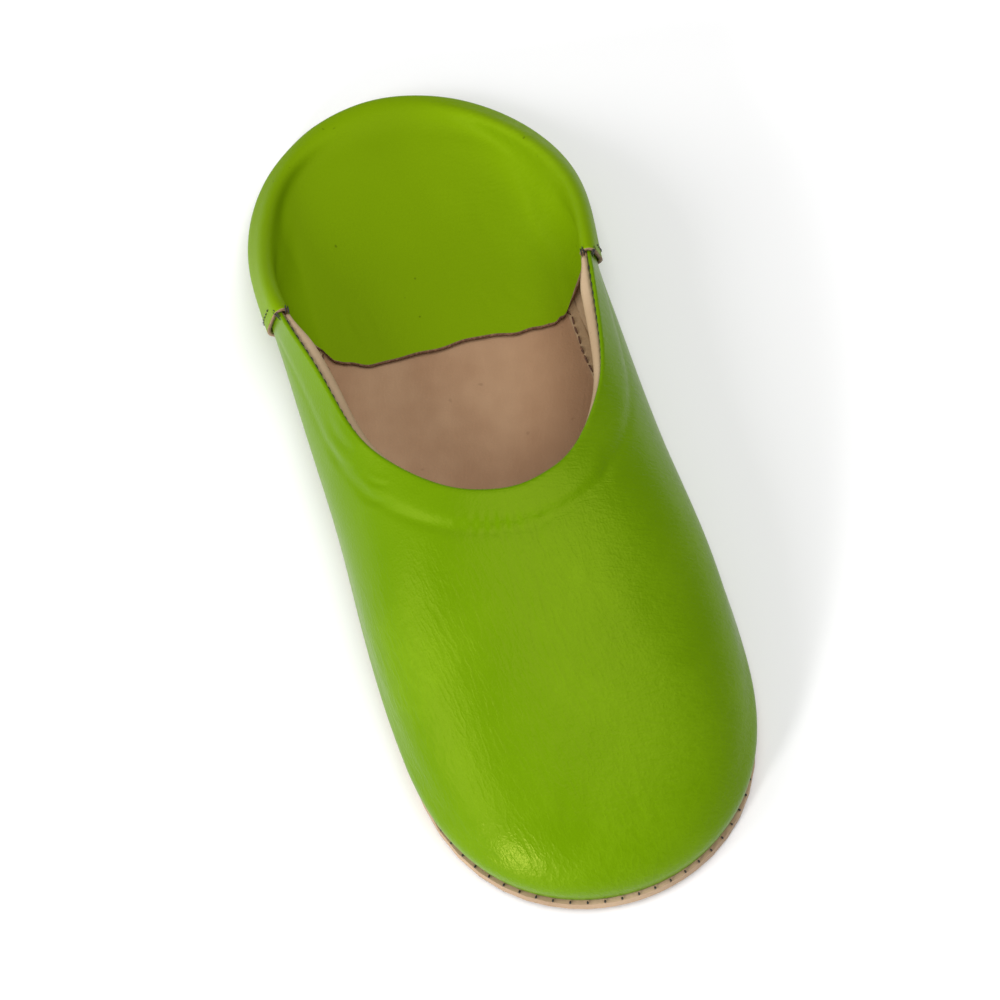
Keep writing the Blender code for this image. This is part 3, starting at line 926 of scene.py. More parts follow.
FINISHES = {
    "vamp": DyedLeather("green_vamp_leather", GREEN, DEEP_GREEN, PALE_GREEN),
    "flap": DyedLeather(
        "green_heel_leather",
        (0.166, 0.288, 0.0008),
        (0.156, 0.273, 0.0005),
        (0.203, 0.335, 0.005),
        roughness=0.46,
        wrinkle=0.00005,
        shine=0.16,
        specks=0.6,
    ),
    "lining": PlainLeather("tan_lining_leather", (0.440, 0.305, 0.172), (0.370, 0.245, 0.134)),
    "roll": PlainLeather("pale_rolled_lining", (0.470, 0.345, 0.215), (0.395, 0.277, 0.165)),
    # The insole's big-toe side carries painted shade.
    "insole": PlainLeather(
        "tan_insole_leather", (0.430, 0.268, 0.155), (0.325, 0.182, 0.096), roughness=0.66, painted_shade_side=0.75
    ),
    "sole": PlainLeather("tan_sole_leather", (0.480, 0.340, 0.220), (0.370, 0.250, 0.155), roughness=0.7),
    "raw_edge": Thread("brown_raw_edge", (0.110, 0.045, 0.022), (0.260, 0.130, 0.070), roughness=0.75),
    "pale_edge": Thread("tan_cut_edge", (0.230, 0.130, 0.075), (0.380, 0.250, 0.150), roughness=0.75),
    "dark_thread": Thread("black_waxed_thread", (0.008, 0.007, 0.006), (0.030, 0.024, 0.018)),
    "brown_thread": Thread("brown_thread", (0.090, 0.035, 0.018), (0.180, 0.080, 0.040)),
}


class Workshop:
    """Turns grids of points into pieces that ride on the slipper."""

    @staticmethod
    def piece(
        name: str,
        points: Array,
        faces: Sequence[Array],
        materials: Sequence[bpy.types.Material],
        slots: Array | None = None,
    ) -> bpy.types.Object:
        """Makes one piece from points and faces.

        Args:
            name: The piece's name.
            points: Its points, in the frame.
            faces: Arrays of faces, each with one face a row.
            materials: The piece's finishes.
            slots: The number of the finish of each face, in order.

        Returns:
            The piece's object.
        """
        mesh = bpy.data.meshes.new(name)
        listed = [tuple(face) for block in faces for face in np.asarray(block).tolist()]
        mesh.from_pydata(points.reshape(-1, 3).tolist(), [], listed)
        for material in materials:
            mesh.materials.append(material)
        if slots is not None:
            mesh.polygons.foreach_set("material_index", np.asarray(slots, dtype=np.int32))
        mesh.shade_smooth()
        thing = bpy.data.objects.new(name, mesh)
        bpy.context.scene.collection.objects.link(thing)
        log.info("%s: %d faces", name, len(mesh.polygons))
        return thing

    @staticmethod
    def belt(rows: int, around: int) -> Array:
        """Joins closed rings of points: a face has two neighbours of a ring and the same two of the next.

        Args:
            rows: How many rings there are.
            around: How many points a ring has.

        Returns:
            The four-sided faces, one a row.
        """
        i, j = np.meshgrid(np.arange(rows - 1), np.arange(around), indexing="ij")
        k = (j + 1) % around
        corners = [i * around + j, (i + 1) * around + j, (i + 1) * around + k, i * around + k]
        return np.stack(corners, axis=-1).reshape(-1, 4)

    @staticmethod
    def shell(outer: Array, inner: Array, rim: int = 4) -> tuple[Array, list[Array], Array]:
        """Closes an outer and an inner face into a sheet of leather with rounded long edges.

        Each row becomes a ring: the outer face, half a turn round its last edge, the inner face backwards,
        and half a turn round its first edge. The half turn is a middle plus the cosine times half the
        thickness, plus the sine times as much beyond the edge.

        Args:
            outer: The outer face's grid, a row for each station.
            inner: The inner face's grid.
            rim: How many points each half turn adds.

        Returns:
            The rings of points, the faces in blocks, and the part that each face belongs to: 0 for the outer
            face, 1 for the rims, 2 for the inner face and 3 for the two ends.
        """

        def half_turn(column: int, before: int) -> Array:
            """Rounds the edge at a column, away from the column before it."""
            angle = np.linspace(0, np.pi, rim + 2)[1:-1][None, :, None]
            middle = (outer[:, column] + inner[:, column])[:, None] / 2
            across = (outer[:, column] - inner[:, column])[:, None] / 2
            beyond = outer[:, column] - outer[:, before]
            beyond = beyond / np.linalg.norm(beyond, axis=1, keepdims=True)
            reach = np.linalg.norm(across, axis=2, keepdims=True)
            return middle + np.cos(angle) * across + np.sin(angle) * beyond[:, None] * reach

        rings = np.concatenate([outer, half_turn(-1, -2), inner[:, ::-1], half_turn(0, 1)[:, ::-1]], axis=1)
        rows, around = rings.shape[:2]
        columns = outer.shape[1]
        turned_over = [0, 3, 2, 1]
        sides = Workshop.belt(rows, around)[:, turned_over]
        part = np.full(around, 1)
        part[: columns - 1] = 0
        part[columns + rim : 2 * columns + rim - 1] = 2
        first = np.arange(columns - 1)
        facing = 2 * columns + rim - 1 - first
        cap = np.stack([first, facing, facing - 1, first + 1], axis=1)
        top = np.arange(columns - 1, columns + rim + 1)[::-1][None]
        low = np.concatenate([np.arange(2 * columns + rim - 1, around), [0]])[::-1][None]
        shift = (rows - 1) * around
        ends = [cap, top, low, cap[:, ::-1] + shift, top[:, ::-1] + shift, low[:, ::-1] + shift]
        parts = np.concatenate([np.tile(part, rows - 1), np.full(sum(len(end) for end in ends), 3)])
        return rings, [sides, *ends], parts

    @staticmethod
    def stitches(starts: Array, finishes: Array, away: Array, kind: Stitch) -> tuple[Array, list[Array]]:
        """Bows a short thread from each start to its end.

        Each thread is a tube whose middle rises off the leather as a sine and whose radius shrinks towards
        its ends as the root of a sine.

        Args:
            starts: Where the threads start.
            finishes: Where they end.
            away: A unit direction off the leather for each.
            kind: The kind of stitch.

        Returns:
            The points, and the faces in blocks.
        """
        steps, turns, blunt = 6, 6, 0.03
        part = np.linspace(0, 1, steps)
        swell = np.sqrt(np.sin(np.pi * np.clip(part, blunt, 1 - blunt)))
        ahead = finishes - starts
        length = np.linalg.norm(ahead, axis=1, keepdims=True)
        aside = np.cross(ahead / length, away)
        aside /= np.linalg.norm(aside, axis=1, keepdims=True)
        up = np.cross(aside, ahead / length)
        middle = starts[:, None] + ahead[:, None] * part[None, :, None]
        middle = middle + away[:, None] * (kind.bow * np.sin(np.pi * part))[None, :, None]
        angle = np.linspace(0, 2 * np.pi, turns, endpoint=False)
        circle = aside[:, None] * np.cos(angle)[None, :, None] + up[:, None] * np.sin(angle)[None, :, None]
        points = middle[:, :, None] + kind.radius * swell[None, :, None, None] * circle[:, None]
        base = np.arange(len(starts)) * steps * turns
        sides = (Workshop.belt(steps, turns) + base[:, None, None]).reshape(-1, 4)
        near = np.arange(turns)[None] + base[:, None]
        far = (steps - 1) * turns + np.arange(turns)[::-1][None] + base[:, None]
        return points, [sides, near, far]


@dataclass
class Upper:
    """The green vamp and quarters, and the tan lining glued inside them."""

    last: Last
    finishes: Finishes
    stations: int = 430
    rings: int = 96
    ring_spacing: float = 0.85
    leather: float = 0.0011
    turned_edge: float = 0.0098
    turned_step: float = 0.00050
    turned_reach: float = 0.33
    turned_at_seams: float = 0.35
    turned_swell: float = 1.6
    band_end: float = 0.72
    band_fade: float = 0.5
    groove_at: float = 1.12
    pucker_at: float = 0.95
    groove: float = 0.00040
    groove_width: float = 0.0016
    pucker: float = 0.00014
    pucker_length: float = 0.0026
    pucker_height: float = 0.0024
    puckers_at: float = 0.440
    puckers_reach: float = 0.065
    flat_at_seams: float = 0.012
    flat_at_sole: float = 0.006
    overhang: float = 0.0015
    overhang_at: float = 0.0050
    overhang_width: float = 0.0042
    overhang_at_toe: float = 0.15
    overhang_at_seams: float = 0.3
    overhang_full: float = 0.14
    overhang_to: float = 0.2
    overhang_fade: float = 0.1
    settling: float = 0.0100
    settled_over: float = 0.0048
    glue: float = 0.00004
    lining_below: int = 5

    def share(self) -> Array:
        """Shares of the way round the sole.

        Returns:
            Even shares from one tucked end to the other.
        """
        sizes = self.last.sizes
        tuck = sizes.tuck_length / self.last.edge_length(sizes.upper_inset)
        return np.linspace(sizes.outer_seam - tuck, sizes.inner_seam + tuck, self.stations)

    def turned_heights(self, share: Array, down: Array) -> Array:
        """The turned edge: a raised band along the collar, a groove under it and puckers across the groove.

        Their places under the collar are shares of the turned edge's depth.

        Args:
            share: Each rib's share of the way round.
            down: How far each point lies below the collar's edge.

        Returns:
            Heights along the outward directions.
        """
        sizes = self.last.sizes
        front = np.clip(1 - np.abs(share - 0.5) / self.turned_reach, 0, 1)[:, None]
        tall = self.turned_at_seams + (1 - self.turned_at_seams) * ease(front * self.turned_swell)
        band = self.turned_step * (1 - ease((down / self.turned_edge - self.band_end) / self.band_fade))
        trough = self.groove * bell(down - self.turned_edge * self.groove_at, self.groove_width)
        far = way_along(self.last.ends(share))[:, None]
        wave = np.sin(far * 2 * np.pi / self.pucker_length + waves(far, PUCKER_WANDER))
        strength = bell(share[:, None] - self.puckers_at, self.puckers_reach)
        pucker = self.pucker * wave * strength
        pucker = pucker * bell(down - self.turned_edge * self.pucker_at, self.pucker_height)
        away = np.minimum(share - sizes.outer_seam, sizes.inner_seam - share)[:, None]
        return ((band - trough) * tall + pucker) * ease(away / self.flat_at_seams)

    def overhangs(self, share: Array, up: Array) -> Array:
        """How far the lower wall bulges over the sole's edge, most beside the toe.

        Args:
            share: Each rib's share of the way round.
            up: How far each point lies above the sole.

        Returns:
            Heights along the outward directions.
        """
        sideways = np.abs(share - 0.5)[:, None]
        past_toe = self.overhang_at_toe + (1 - self.overhang_at_toe) * ease(sideways / self.overhang_full)
        fading = ease((sideways - self.overhang_to) / self.overhang_fade)
        before_seams = 1 - (1 - self.overhang_at_seams) * fading
        return self.overhang * past_toe * before_seams * bell(up - self.overhang_at, self.overhang_width)

    def build(self) -> None:
        """Makes the leather and its lining."""
        sizes = self.last.sizes
        share = self.share()
        run = np.linspace(0, 1, self.rings) ** self.ring_spacing
        plain = self.last.form(share, run)
        out = normals(plain)
        total = arc_lengths(plain)
        from_seam = np.minimum(share - sizes.outer_seam, sizes.inner_seam - share)
        down_to_sole = self.last.lap_rise(share) * ease(from_seam / self.settled_over)
        grid = plain.copy()
        grid[..., 2] -= down_to_sole[:, None] * (1 - ease(total / self.settling))
        height = self.turned_heights(share, total[:, -1:] - total) + self.overhangs(share, total)
        height += crease_heights(grid, VAMP_CREASES, sizes) * ease(total / self.flat_at_sole)
        outer = grid + out * height[..., None]
        inner = grid - out * self.leather
        points, faces, parts = Workshop.shell(self.last.placed(outer), self.last.placed(inner))
        finishes = [self.finishes["vamp"], self.finishes["raw_edge"]]
        leather = Workshop.piece("vamp_and_quarters", points, faces, finishes, np.where(parts == 3, 1, 0))
        front, back = (
            self.last.placed(plain - out * depth)[:, : -self.lining_below]
            for depth in (self.leather + self.glue, sizes.upper_wall)
        )
        points, faces, _ = Workshop.shell(front, back, 2)
        lining = Workshop.piece("vamp_lining", points, faces, [self.finishes["lining"]])
        for thing, slot in ((leather, "green_leather"), (lining, "tan_lining")):
            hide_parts("upper")
            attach(thing, "root")


@dataclass
class HeelFlap:
    """The back of the slipper, folded in and trodden flat onto the insole."""

    last: Last
    finishes: Finishes
    stations: int = 250
    across: int = 190
    wall_ribs: int = 8
    wall_steps: int = 24
    over_steps: int = 14
    slope_steps: int = 33
    hug_ribs: int = 5
    hug_steps: int = 20
    lying_steps: int = 10
    fold_rounding: float = 0.0012
    foot_rounding: float = 0.0080
    foot_start: float = 0.0020
    foot_fade: float = 0.0110
    edge_reach: float = 0.0060
    edge_waver: float = 0.00030
    waver_fade: float = 0.2
    back_flatness: float = 0.0008
    flat_back: float = 0.3

    def lining_side(self, share: Array, crest: Array, inwards: Array, foot: Array) -> Array:
        """The way from the crest down to the foot where the flap lies against the inside of the quarter.

        Args:
            share: Shares of the way round the sole.
            crest: The top of the fold at each share.
            inwards: Level inward directions at each share.
            foot: Where the flap reaches the insole.

        Returns:
            A grid of points, a row for each share.
        """
        s = self.last.sizes
        wall = self.last.form(share, np.linspace(1, s.hug_depth, self.hug_ribs))
        wall = wall + normals(wall) * (s.upper_wall + s.lap_clearance + s.flap_thickness)
        wall = finer(wall, self.hug_steps + 1)
        top = wall[:, 0]
        raised = top + UPWARDS * s.fold_height / 2
        over_steps = self.slope_steps - self.hug_steps - 1
        over = bezier((crest, crest + inwards * s.fold_height / 2, raised, top), steps(over_steps))
        return np.concatenate([over, wall[:, 1:], foot[:, None]], axis=1)

    def rows(self) -> Array:
        """The flap's outer face, rib by rib, each a chain of Bezier curves.

        Returns:
            A grid of points, each row from the sole over the fold to the cut edge inside.
        """
        s = self.last.sizes
        part = np.linspace(0, 1, self.stations)
        share = s.inner_seam + (1 + s.outer_seam - s.inner_seam) * part
        outside = self.last.form(share, np.linspace(0, 1, self.wall_ribs))
        outside = outside + normals(outside) * (s.flap_thickness + s.lap_clearance)
        top = outside[:, -1]
        rise = outside[:, -1] - outside[:, -2]
        rise /= np.linalg.norm(rise, axis=1, keepdims=True)
        inwards = -self.last.outward(share)
        crest = top + inwards * s.fold_height
        crest[:, 2] = self.last.ends(share)[:, 2] + s.fold_height
        crest[:, 2] -= self.back_flatness * ease(1 - np.abs(part - 0.5) / self.flat_back)
        bow = s.fold_height * s.fold_roundness
        over = bezier((top, top + rise * bow, crest - inwards * bow, crest), steps(self.over_steps))
        rows = smooth([fold.at for fold in FOLDS], [fold[1:] for fold in FOLDS], part)
        level = s.sole_thickness + s.insole_thickness + s.flap_thickness + 2 * s.clearance
        size = (s.heel_width / 2, s.flap_length)
        foot = np.column_stack([rows[:, 0:2] * size, np.full(len(part), level)])
        edge = np.column_stack([rows[:, 2:4] * size, level + rows[:, 4] * s.flap_wave])
        from_end = np.minimum(part, 1 - part)
        edge[:, 1] += self.edge_waver * waves(part, CUT_EDGE_WANDER) * ease(from_end / self.waver_fade)
        flat = edge - foot
        length = np.linalg.norm(flat, axis=1, keepdims=True)
        gentle = np.minimum(length, s.flap_length * s.flap_ease) * flat / length
        free = bezier((crest, crest + inwards * s.fold_height, foot - gentle, foot), steps(self.slope_steps))
        hug = 1 - ease((from_end - s.hug_length) / s.hug_fade)[:, None, None]
        slope = free + (self.lining_side(share, crest, inwards, foot) - free) * hug
        lying = foot[:, None] + flat[:, None] * steps(self.lying_steps)[:, None]
        return np.concatenate([finer(outside, self.wall_steps), over, slope, lying], axis=1)

    def rounded(self, rows: Array) -> Array:
        """Reads the ribs evenly along their lengths and rounds them, most where they reach the insole.

        Args:
            rows: The flap's outer face.

        Returns:
            The rounded face.
        """
        even, length = evenly(rows, self.across)
        far = arc_lengths(rows)[:, self.wall_steps + self.over_steps - 1][:, None]
        place = length * np.linspace(0, 1, self.across) - far
        gentle = blurred(even, self.fold_rounding / np.mean(length) * self.across)
        strong = blurred(even, self.foot_rounding / np.mean(length) * self.across)
        share = ease((place - self.foot_start) / self.foot_fade)[..., None]
        return gentle * (1 - share) + strong * share

    def build(self) -> None:
        """Makes the flap, green outside with a raw brown edge and a tan back."""
        s = self.last.sizes
        grid = self.rounded(self.rows())
        far = arc_lengths(grid)
        near_edge = ease(1 - (far[:, -1:] - far) / self.edge_reach)
        out = normals(grid)
        out[..., 2] = np.where(near_edge > 0, np.abs(out[..., 2]), out[..., 2]) + 2 * near_edge
        out /= np.linalg.norm(out, axis=2, keepdims=True)
        outer = grid + out * crease_heights(grid, FLAP_CREASES, s)[..., None]
        inner = grid - out * s.flap_thickness
        points, faces, parts = Workshop.shell(self.last.placed(outer), self.last.placed(inner), 3)
        finishes = [self.finishes[use] for use in ("flap", "raw_edge", "lining", "pale_edge")]
        thing = Workshop.piece("folded_heel", points, faces, finishes, parts)
        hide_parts("heel_flap")
        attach(thing, "root")


@dataclass
class Insole:
    """The tan insole, trodden a little hollow, with the lining's margin sewn down round its edge."""

    last: Last
    finishes: Finishes
    stations: int = 220
    columns: int = 44
    margin_columns: int = 8
    crowding: float = 0.9
    margin: float = 0.0034
    lap: float = 0.00025
    hollow: float = 0.0005
    gap: float = 0.0007
    met_over: float = 0.012
    probes: int = 80

    @property
    def level(self) -> float:
        """The height of the insole's face."""
        s = self.last.sizes
        return s.sole_thickness + s.clearance + s.insole_thickness

    def edge(self, share: Array) -> Array:
        """Where the insole's face meets the lining, or the solid's edge under the flap.

        Args:
            share: Shares of the way round the sole.

        Returns:
            Points (across, along).
        """
        s = self.last.sizes
        grid = self.last.form(share, np.linspace(0, 0.5, self.probes))
        inside = grid - normals(grid) * s.upper_wall
        above = np.clip((inside[..., 2] < self.level).sum(axis=1), 1, self.probes - 1)
        rows = np.arange(len(share))
        low, high = inside[rows, above - 1], inside[rows, above]
        part = np.clip((self.level - low[:, 2]) / (high[:, 2] - low[:, 2]), 0, 1)[:, None]
        met = (low + (high - low) * part)[:, :2]
        plain = self.bottom(share)
        around = np.mod(share, 1)
        near = ease(np.minimum(around - s.outer_seam, s.inner_seam - around) / self.met_over)[:, None]
        return plain + (met - plain) * near

    def bottom(self, share: Array) -> Array:
        """The solid insole's edge, level with the sole's and inside it.

        Args:
            share: Shares of the way round the sole.

        Returns:
            Points (across, along).
        """
        s = self.last.sizes
        inset = s.upper_inset + s.upper_wall + self.gap
        return self.last.read(self.last.outline - inset * self.last.outline_out, share)

    def margin_line(self, share: Array) -> Array:
        """The line on which the lining's margin is sewn down."""
        return self.edge(share) - self.last.read(self.last.outline_out, share) * self.margin

    def build(self) -> None:
        """Makes the insole: rows of points from one edge over the foot's hollows to the other."""
        turn = (1 - np.cos(np.linspace(0, np.pi, self.stations))) / 4
        turn = turn * self.crowding + np.linspace(0, 0.5, self.stations) * (1 - self.crowding)
        back = (1 - turn)[::-1]
        left, right = self.edge(turn), self.edge(back)[::-1]
        left_sewn, right_sewn = self.margin_line(turn), self.margin_line(back)[::-1]
        m = self.margin_columns
        to_line = np.linspace(0, 1, m)[None, :, None]
        over = np.linspace(0, 1, self.columns)[None, 1:-1, None]
        parts = [
            left[:, None] + (left_sewn - left)[:, None] * to_line,
            left_sewn[:, None] + (right_sewn - left_sewn)[:, None] * over,
            right_sewn[:, None] + (right - right_sewn)[:, None] * to_line,
        ]
        plan = np.concatenate(parts, axis=1)
        s = self.last.sizes
        across, along = plan[..., 0] / s.ball_width, plan[..., 1] / s.sole_length
        sunk = sum(bell(across - x, wide) * bell(along - y, long) for x, wide, y, long in HOLLOWS)
        raised = np.zeros(plan.shape[1])
        raised[: m - 1], raised[-m + 1 :] = self.lap, self.lap
        height = self.level - self.hollow * sunk + raised
        top = np.concatenate([plan, height[..., None]], axis=2)
        low_left, low_right = self.bottom(turn)[:, None], self.bottom(1 - turn)[:, None]
        wide = np.linspace(0, 1, plan.shape[1])[None, :, None]
        low = low_left + (low_right - low_left) * wide
        floor = np.full(low.shape[:2] + (1,), self.level - s.insole_thickness)
        under = np.concatenate([low, floor], axis=2)
        rim = 1
        points, faces, kinds = Workshop.shell(self.last.placed(top), self.last.placed(under), rim)
        around = 2 * plan.shape[1] + 2 * rim
        column = np.arange(len(kinds)) % around
        sewn = (kinds == 0) & ((column < m - 1) | (column >= plan.shape[1] - m))
        finishes = [self.finishes["insole"], self.finishes["lining"]]
        thing = Workshop.piece("insole_leather", points, faces, finishes, np.where(sewn, 1, 0))
        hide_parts("insole")
        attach(thing, "root")


@dataclass
class CollarRoll:
    """The pale rolled edge of the lining inside the collar."""

    last: Last
    finishes: Finishes
    height: float = 0.0070
    thickness: float = 0.0030
    thinnest: float = 0.35
    taper: float = 0.014
    proud: float = 0.0004
    setback: float = 0.0015
    squareness: float = 0.75
    leather: float = 0.0012
    below: float = 0.96
    stations: int = 300
    turns: int = 28

    def build(self) -> None:
        """Makes the roll: a squarish oval carried along inside the green edge, thinner towards the throat."""
        s = self.last.sizes
        length = self.last.edge_length(s.upper_inset)
        back = self.setback / length
        share = np.linspace(s.outer_seam + back, s.inner_seam - back, self.stations)
        grid = self.last.form(share, np.array([self.below, 1.0]))
        top = grid[:, 1]
        down = grid[:, 0] - top
        down /= np.linalg.norm(down, axis=1, keepdims=True)
        out = normals(grid)[:, 1]
        full = np.clip(np.abs(self.last.ends(share)[:, :1]) / (s.collar_width / 2), self.thinnest, 1)
        from_end = np.minimum(share - share[0], share[-1] - share)[:, None] * length
        full = full * (self.thinnest + (1 - self.thinnest) * ease(from_end / self.taper))
        inner_face = s.upper_wall + s.clearance + self.thickness * full
        thick = (inner_face - self.leather) / 2
        middle = top - out * (self.leather + thick) + down * (self.height / 2 - self.proud)
        turn = np.linspace(0, 2 * np.pi, self.turns, endpoint=False)
        circle = np.cos(turn), np.sin(turn)
        wide, high = (np.sign(part) * np.abs(part) ** self.squareness for part in circle)
        offset = out[:, None] * thick[:, None] * wide[None, :, None]
        offset = offset - down[:, None] * self.height / 2 * high[None, :, None]
        points = self.last.placed(middle[:, None] + offset)
        first = np.arange(self.turns)[None]
        caps = [first, ((self.stations - 1) * self.turns + first)[:, ::-1]]
        sides = Workshop.belt(self.stations, self.turns)
        thing = Workshop.piece("rolled_lining_edge", points, [sides, *caps], [self.finishes["roll"]])
        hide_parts("lining_roll")
        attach(thing, "root")


@dataclass
class Stitching:
    """Every seam that shows: round the sole, along the collar, down the sides and through the corners."""

    last: Last
    finishes: Finishes
    samples: int = 400
    down_samples: int = 200
    below: float = 0.97
    above_sole: float = 0.1
    first: float = 0.001
    sole_inset: float = 0.0004
    sole_start: tuple[float, float] = (0.0001, 0.0007)
    sole_end: tuple[float, float] = (0.0009, 0.0001)
    collar_from: float = 0.004
    collar_inset: float = 0.0012
    collar_lift: float = 0.0004
    side_behind: float = 0.0052
    margin_from: float = 0.002
    margin_to: float = 0.150
    margin_out: float = 0.0003
    margin_lift: float = 0.0001
    margin_slant: float = 0.0004

    def lay(
        self, name: str, ends: Sequence[Array], away: Array, kind: Stitch, finish: str = "dark_thread"
    ) -> None:
        """Makes a piece of short bowed threads that rides on the slipper.

        Args:
            name: The piece's name.
            ends: Where the threads start and where they end, as (across, along, height).
            away: A unit direction off the leather for each, in the frame.
            kind: The kind of stitch.
            finish: What the thread is, among the finishes.
        """
        starts, finishes = (self.last.placed(points) for points in ends)
        points, faces = Workshop.stitches(starts, finishes, away, kind)
        thing = Workshop.piece(name, points, faces, [self.finishes[finish]])
        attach(thing, "root")

    def seam(self, side: Side) -> float:
        """Where a side's seam stands, as a share of the way round the sole."""
        return self.last.sizes.outer_seam if side is Side.LITTLE_TOE else self.last.sizes.inner_seam

    def ahead(self, side: Side, near: float, far: float) -> Array:
        """Rising shares of the way round between two places ahead of a side's seam."""
        between = sorted(self.seam(side) + side.value * share for share in (near, far))
        return np.linspace(*between, self.samples)

    def row(self, line: Array, far: Array, kind: Stitch) -> tuple[Array, Sequence[Array]]:
        """Spaces stitches evenly along a line.

        Args:
            line: The line's points.
            far: How far along each of them lies.
            kind: The kind of stitch.

        Returns:
            How far along the stitches start, and their two ends.
        """
        at = np.arange(self.first, far[-1] - kind.left, kind.pitch)
        return at, [read_along(place, far, line) for place in (at, at + kind.pitch * kind.part)]

    def sole_seam(self) -> None:
        """Short dark stitches over the edge where the upper meets the sole, all the way round."""
        s = self.last.sizes
        share = np.arange(0, 1, SOLE_STITCH.pitch / self.last.edge_length(s.upper_inset))
        out = self.last.read(self.last.outline_out, share)
        inset = s.upper_inset - self.sole_inset
        base = self.last.read(self.last.outline - inset * self.last.outline_out, share)
        ends = [
            np.column_stack([base + out * across, np.full(len(share), s.sole_thickness + up)])
            for across, up in (self.sole_start, self.sole_end)
        ]
        away = np.column_stack([out, np.ones(len(share))]) / math.sqrt(2) * np.array([1, -1, 1])
        self.lay("sole_stitches", ends, away, SOLE_STITCH)

    def collar_seam(self, side: Side) -> None:
        """Dark stitches where the green edge meets the rolled lining, from the corner towards the throat.

        Args:
            side: The side of the slipper.
        """
        share = self.ahead(side, self.collar_from, COLLAR_REACH[side])
        grid = self.last.form(share, np.array([self.below, 1.0]))
        line = grid[:, 1] - normals(grid)[:, 1] * self.collar_inset + UPWARDS * self.collar_lift
        at, ends = self.row(line, way_along(line), COLLAR_STITCH)
        self.lay(f"collar_stitches_{side.name.lower()}", ends, np.tile(UPWARDS, (len(at), 1)), COLLAR_STITCH)

    def corner(self, side: Side) -> None:
        """A few black threads that hold the ends of the fold to the quarter, outside and inside.

        Args:
            side: The side of the slipper.
        """
        ends = []
        for places in np.array(CORNER_THREADS).transpose(1, 0, 2):
            share = self.seam(side) + side.value * places[:, 0]
            beside = self.last.outward(share) * places[:, 1:2] + UPWARDS * places[:, 2:]
            ends.append(self.last.ends(share) + beside)
        away = np.tile(UPWARDS, (len(CORNER_THREADS), 1))
        self.lay(f"corner_stitches_{side.name.lower()}", ends, away, CORNER_STITCH)

    def margin_seam(self, side: Side) -> None:
        """A wandering row of brown stitches where the lining's margin is sewn down beside the insole.

        Args:
            side: The side of the slipper.
        """
        share = self.ahead(side, self.margin_from, self.margin_to)
        insole = Insole(self.last, self.finishes)
        plan = insole.margin_line(share)
        out = self.last.read(self.last.outline_out, share)
        far = way_along(plan)
        plan = plan + out * (waves(far, MARGIN_SEAM_WANDER) + self.margin_out)[:, None]
        level = insole.level + insole.lap + self.margin_lift
        at, ends = self.row(np.column_stack([plan, np.full(len(plan), level)]), far, MARGIN_STITCH)
        aside = read_along(at, far, np.column_stack([out, np.zeros(len(out))]))
        slant = aside * np.where(np.arange(len(at)) % 2, self.margin_slant, -self.margin_slant)[:, None]
        ends = [ends[0] + slant, ends[1] - slant]
        away = np.tile(UPWARDS, (len(at), 1))
        self.lay(f"lining_stitches_{side.name.lower()}", ends, away, MARGIN_STITCH, "brown_thread")

    def side_seam(self, side: Side) -> None:
        """A row of small stitches down the outside, just behind the flap's cut edge.

        Args:
            side: The side of the slipper.
        """
        s = self.last.sizes
        beside = 0.001 * np.array([-1, 0, 1])
        share = self.seam(side) - side.value * self.side_behind + beside
        grid = self.last.form(share, np.linspace(self.above_sole, self.below, self.down_samples))
        out = normals(grid)[1]
        line = grid[1] + out * (s.flap_thickness + s.lap_clearance)
        far = way_along(line)
        at, ends = self.row(line, far, SIDE_STITCH)
        away = read_along(at, far, out) * np.array([1, -1, 1])
        self.lay(f"side_stitches_{side.name.lower()}", ends, away, SIDE_STITCH)

    def build(self) -> None:
        """Makes every seam."""
        self.sole_seam()
        for side in Side:
            self.collar_seam(side)
            self.corner(side)
            self.side_seam(side)
            self.margin_seam(side)


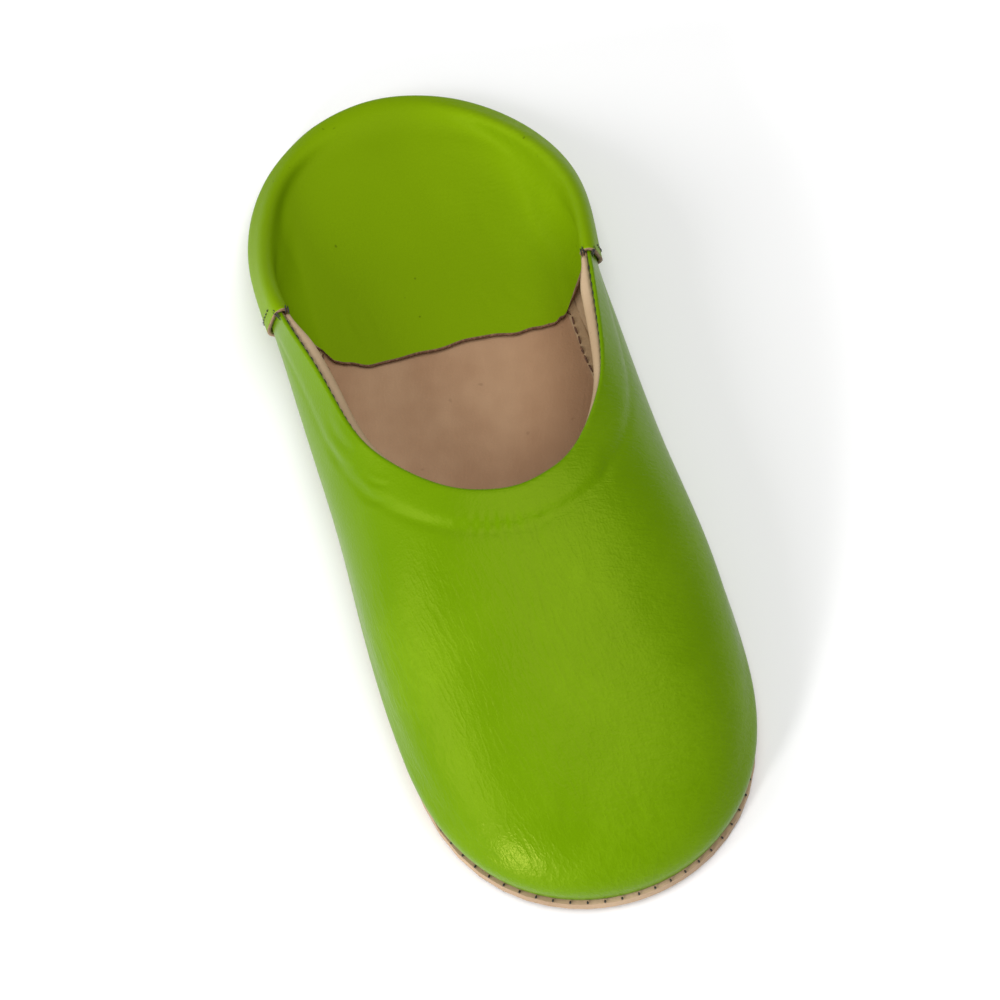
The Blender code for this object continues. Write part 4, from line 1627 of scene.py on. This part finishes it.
@dataclass
class Studio:
    """A pale floor, soft lights and the camera."""

    target: tuple[float, float, float] = (-0.0019, -0.0059, 0.0131)
    azimuth: float = -17.8
    elevation: float = 69.0
    distance: float = 1.8
    lens: float = 225.5
    sensor: float = 36.0
    sight: float = 20.0
    floor_half: float = 3.0
    floor_colour: tuple[float, float, float] = (0.93, 0.93, 0.93)
    surroundings: float = 0.31

    def camera(self) -> None:
        """Sets the camera at the photo's angle to the slipper."""
        turn, rise = math.radians(self.azimuth), math.radians(self.elevation)
        away = Vector((math.sin(turn) * math.cos(rise), -math.cos(turn) * math.cos(rise), math.sin(rise)))
        data = bpy.data.cameras.new("camera")
        data.lens = self.lens
        data.sensor_width = self.sensor
        data.clip_end = self.sight
        thing = bpy.data.objects.new("camera", data)
        thing.location = Vector(self.target) + away * self.distance
        thing.rotation_euler = (-away).to_track_quat("-Z", "Y").to_euler()
        bpy.context.scene.collection.objects.link(thing)
        bpy.context.scene.camera = thing

    def light(self, name: str, place: tuple[float, float, float], size: float, power: float) -> None:
        """Hangs a square soft light that looks at the slipper.

        Args:
            name: The light's name.
            place: Where it hangs, in metres.
            size: The length of its side, in metres.
            power: Its power, in watts.
        """
        data = bpy.data.lights.new(name, "AREA")
        data.shape = "SQUARE"
        data.size = size
        data.energy = power
        thing = bpy.data.objects.new(name, data)
        thing.location = place
        thing.rotation_euler = (Vector(self.target) - Vector(place)).to_track_quat("-Z", "Y").to_euler()
        bpy.context.scene.collection.objects.link(thing)

    def floor(self) -> None:
        """Lays a plain pale floor."""
        half = self.floor_half
        corners = np.array([[-half, -half, 0], [half, -half, 0], [half, half, 0], [-half, half, 0]], float)
        material = Shader("pale_floor").finish(Base_Color=self.floor_colour, Roughness=0.9)
        plane = Workshop.piece("floor", corners, [np.array([[0, 1, 2, 3]])], [material])

    def build(self) -> None:
        """Sets up the floor, the lights, the surroundings and the camera."""
        self.floor()
        self.light("card_on_little_toe_side", (-1.40, -0.15, 0.90), 0.9, 12.5)
        self.light("card_before_toe", (-1.08, -1.02, 0.50), 0.20, 13.5)
        self.light("soft_light_overhead", (0.30, 0.00, 1.9), 1.5, 25.0)
        world = bpy.data.worlds.new("studio")
        world.use_nodes = True
        background = world.node_tree.nodes["Background"].inputs
        background["Color"].default_value = (1.0, 1.0, 1.0, 1.0)
        background["Strength"].default_value = self.surroundings
        bpy.context.scene.world = world
        bpy.context.scene.view_settings.view_transform = "Standard"
        self.camera()


def dress_outsole(finishes: Finishes) -> None:
    """Gives the outsole, which keeps its solid, its leather.

    Args:
        finishes: The finishes.
    """
    mesh = bpy.data.objects["outsole"].data
    mesh.materials.clear()
    mesh.materials.append(finishes["sole"])


def main() -> None:
    """Builds the slipper's pieces in the order that a maker would."""
    logging.basicConfig(level=logging.INFO, format="%(message)s")
    finishes = {use: finish.make() for use, finish in FINISHES.items()}
    last = Last(Sizes())
    dress_outsole(finishes)
    Upper(last, finishes).build()
    Insole(last, finishes).build()
    HeelFlap(last, finishes).build()
    CollarRoll(last, finishes).build()
    Stitching(last, finishes).build()
    Studio().build()


if __name__ == "__main__":
    main()
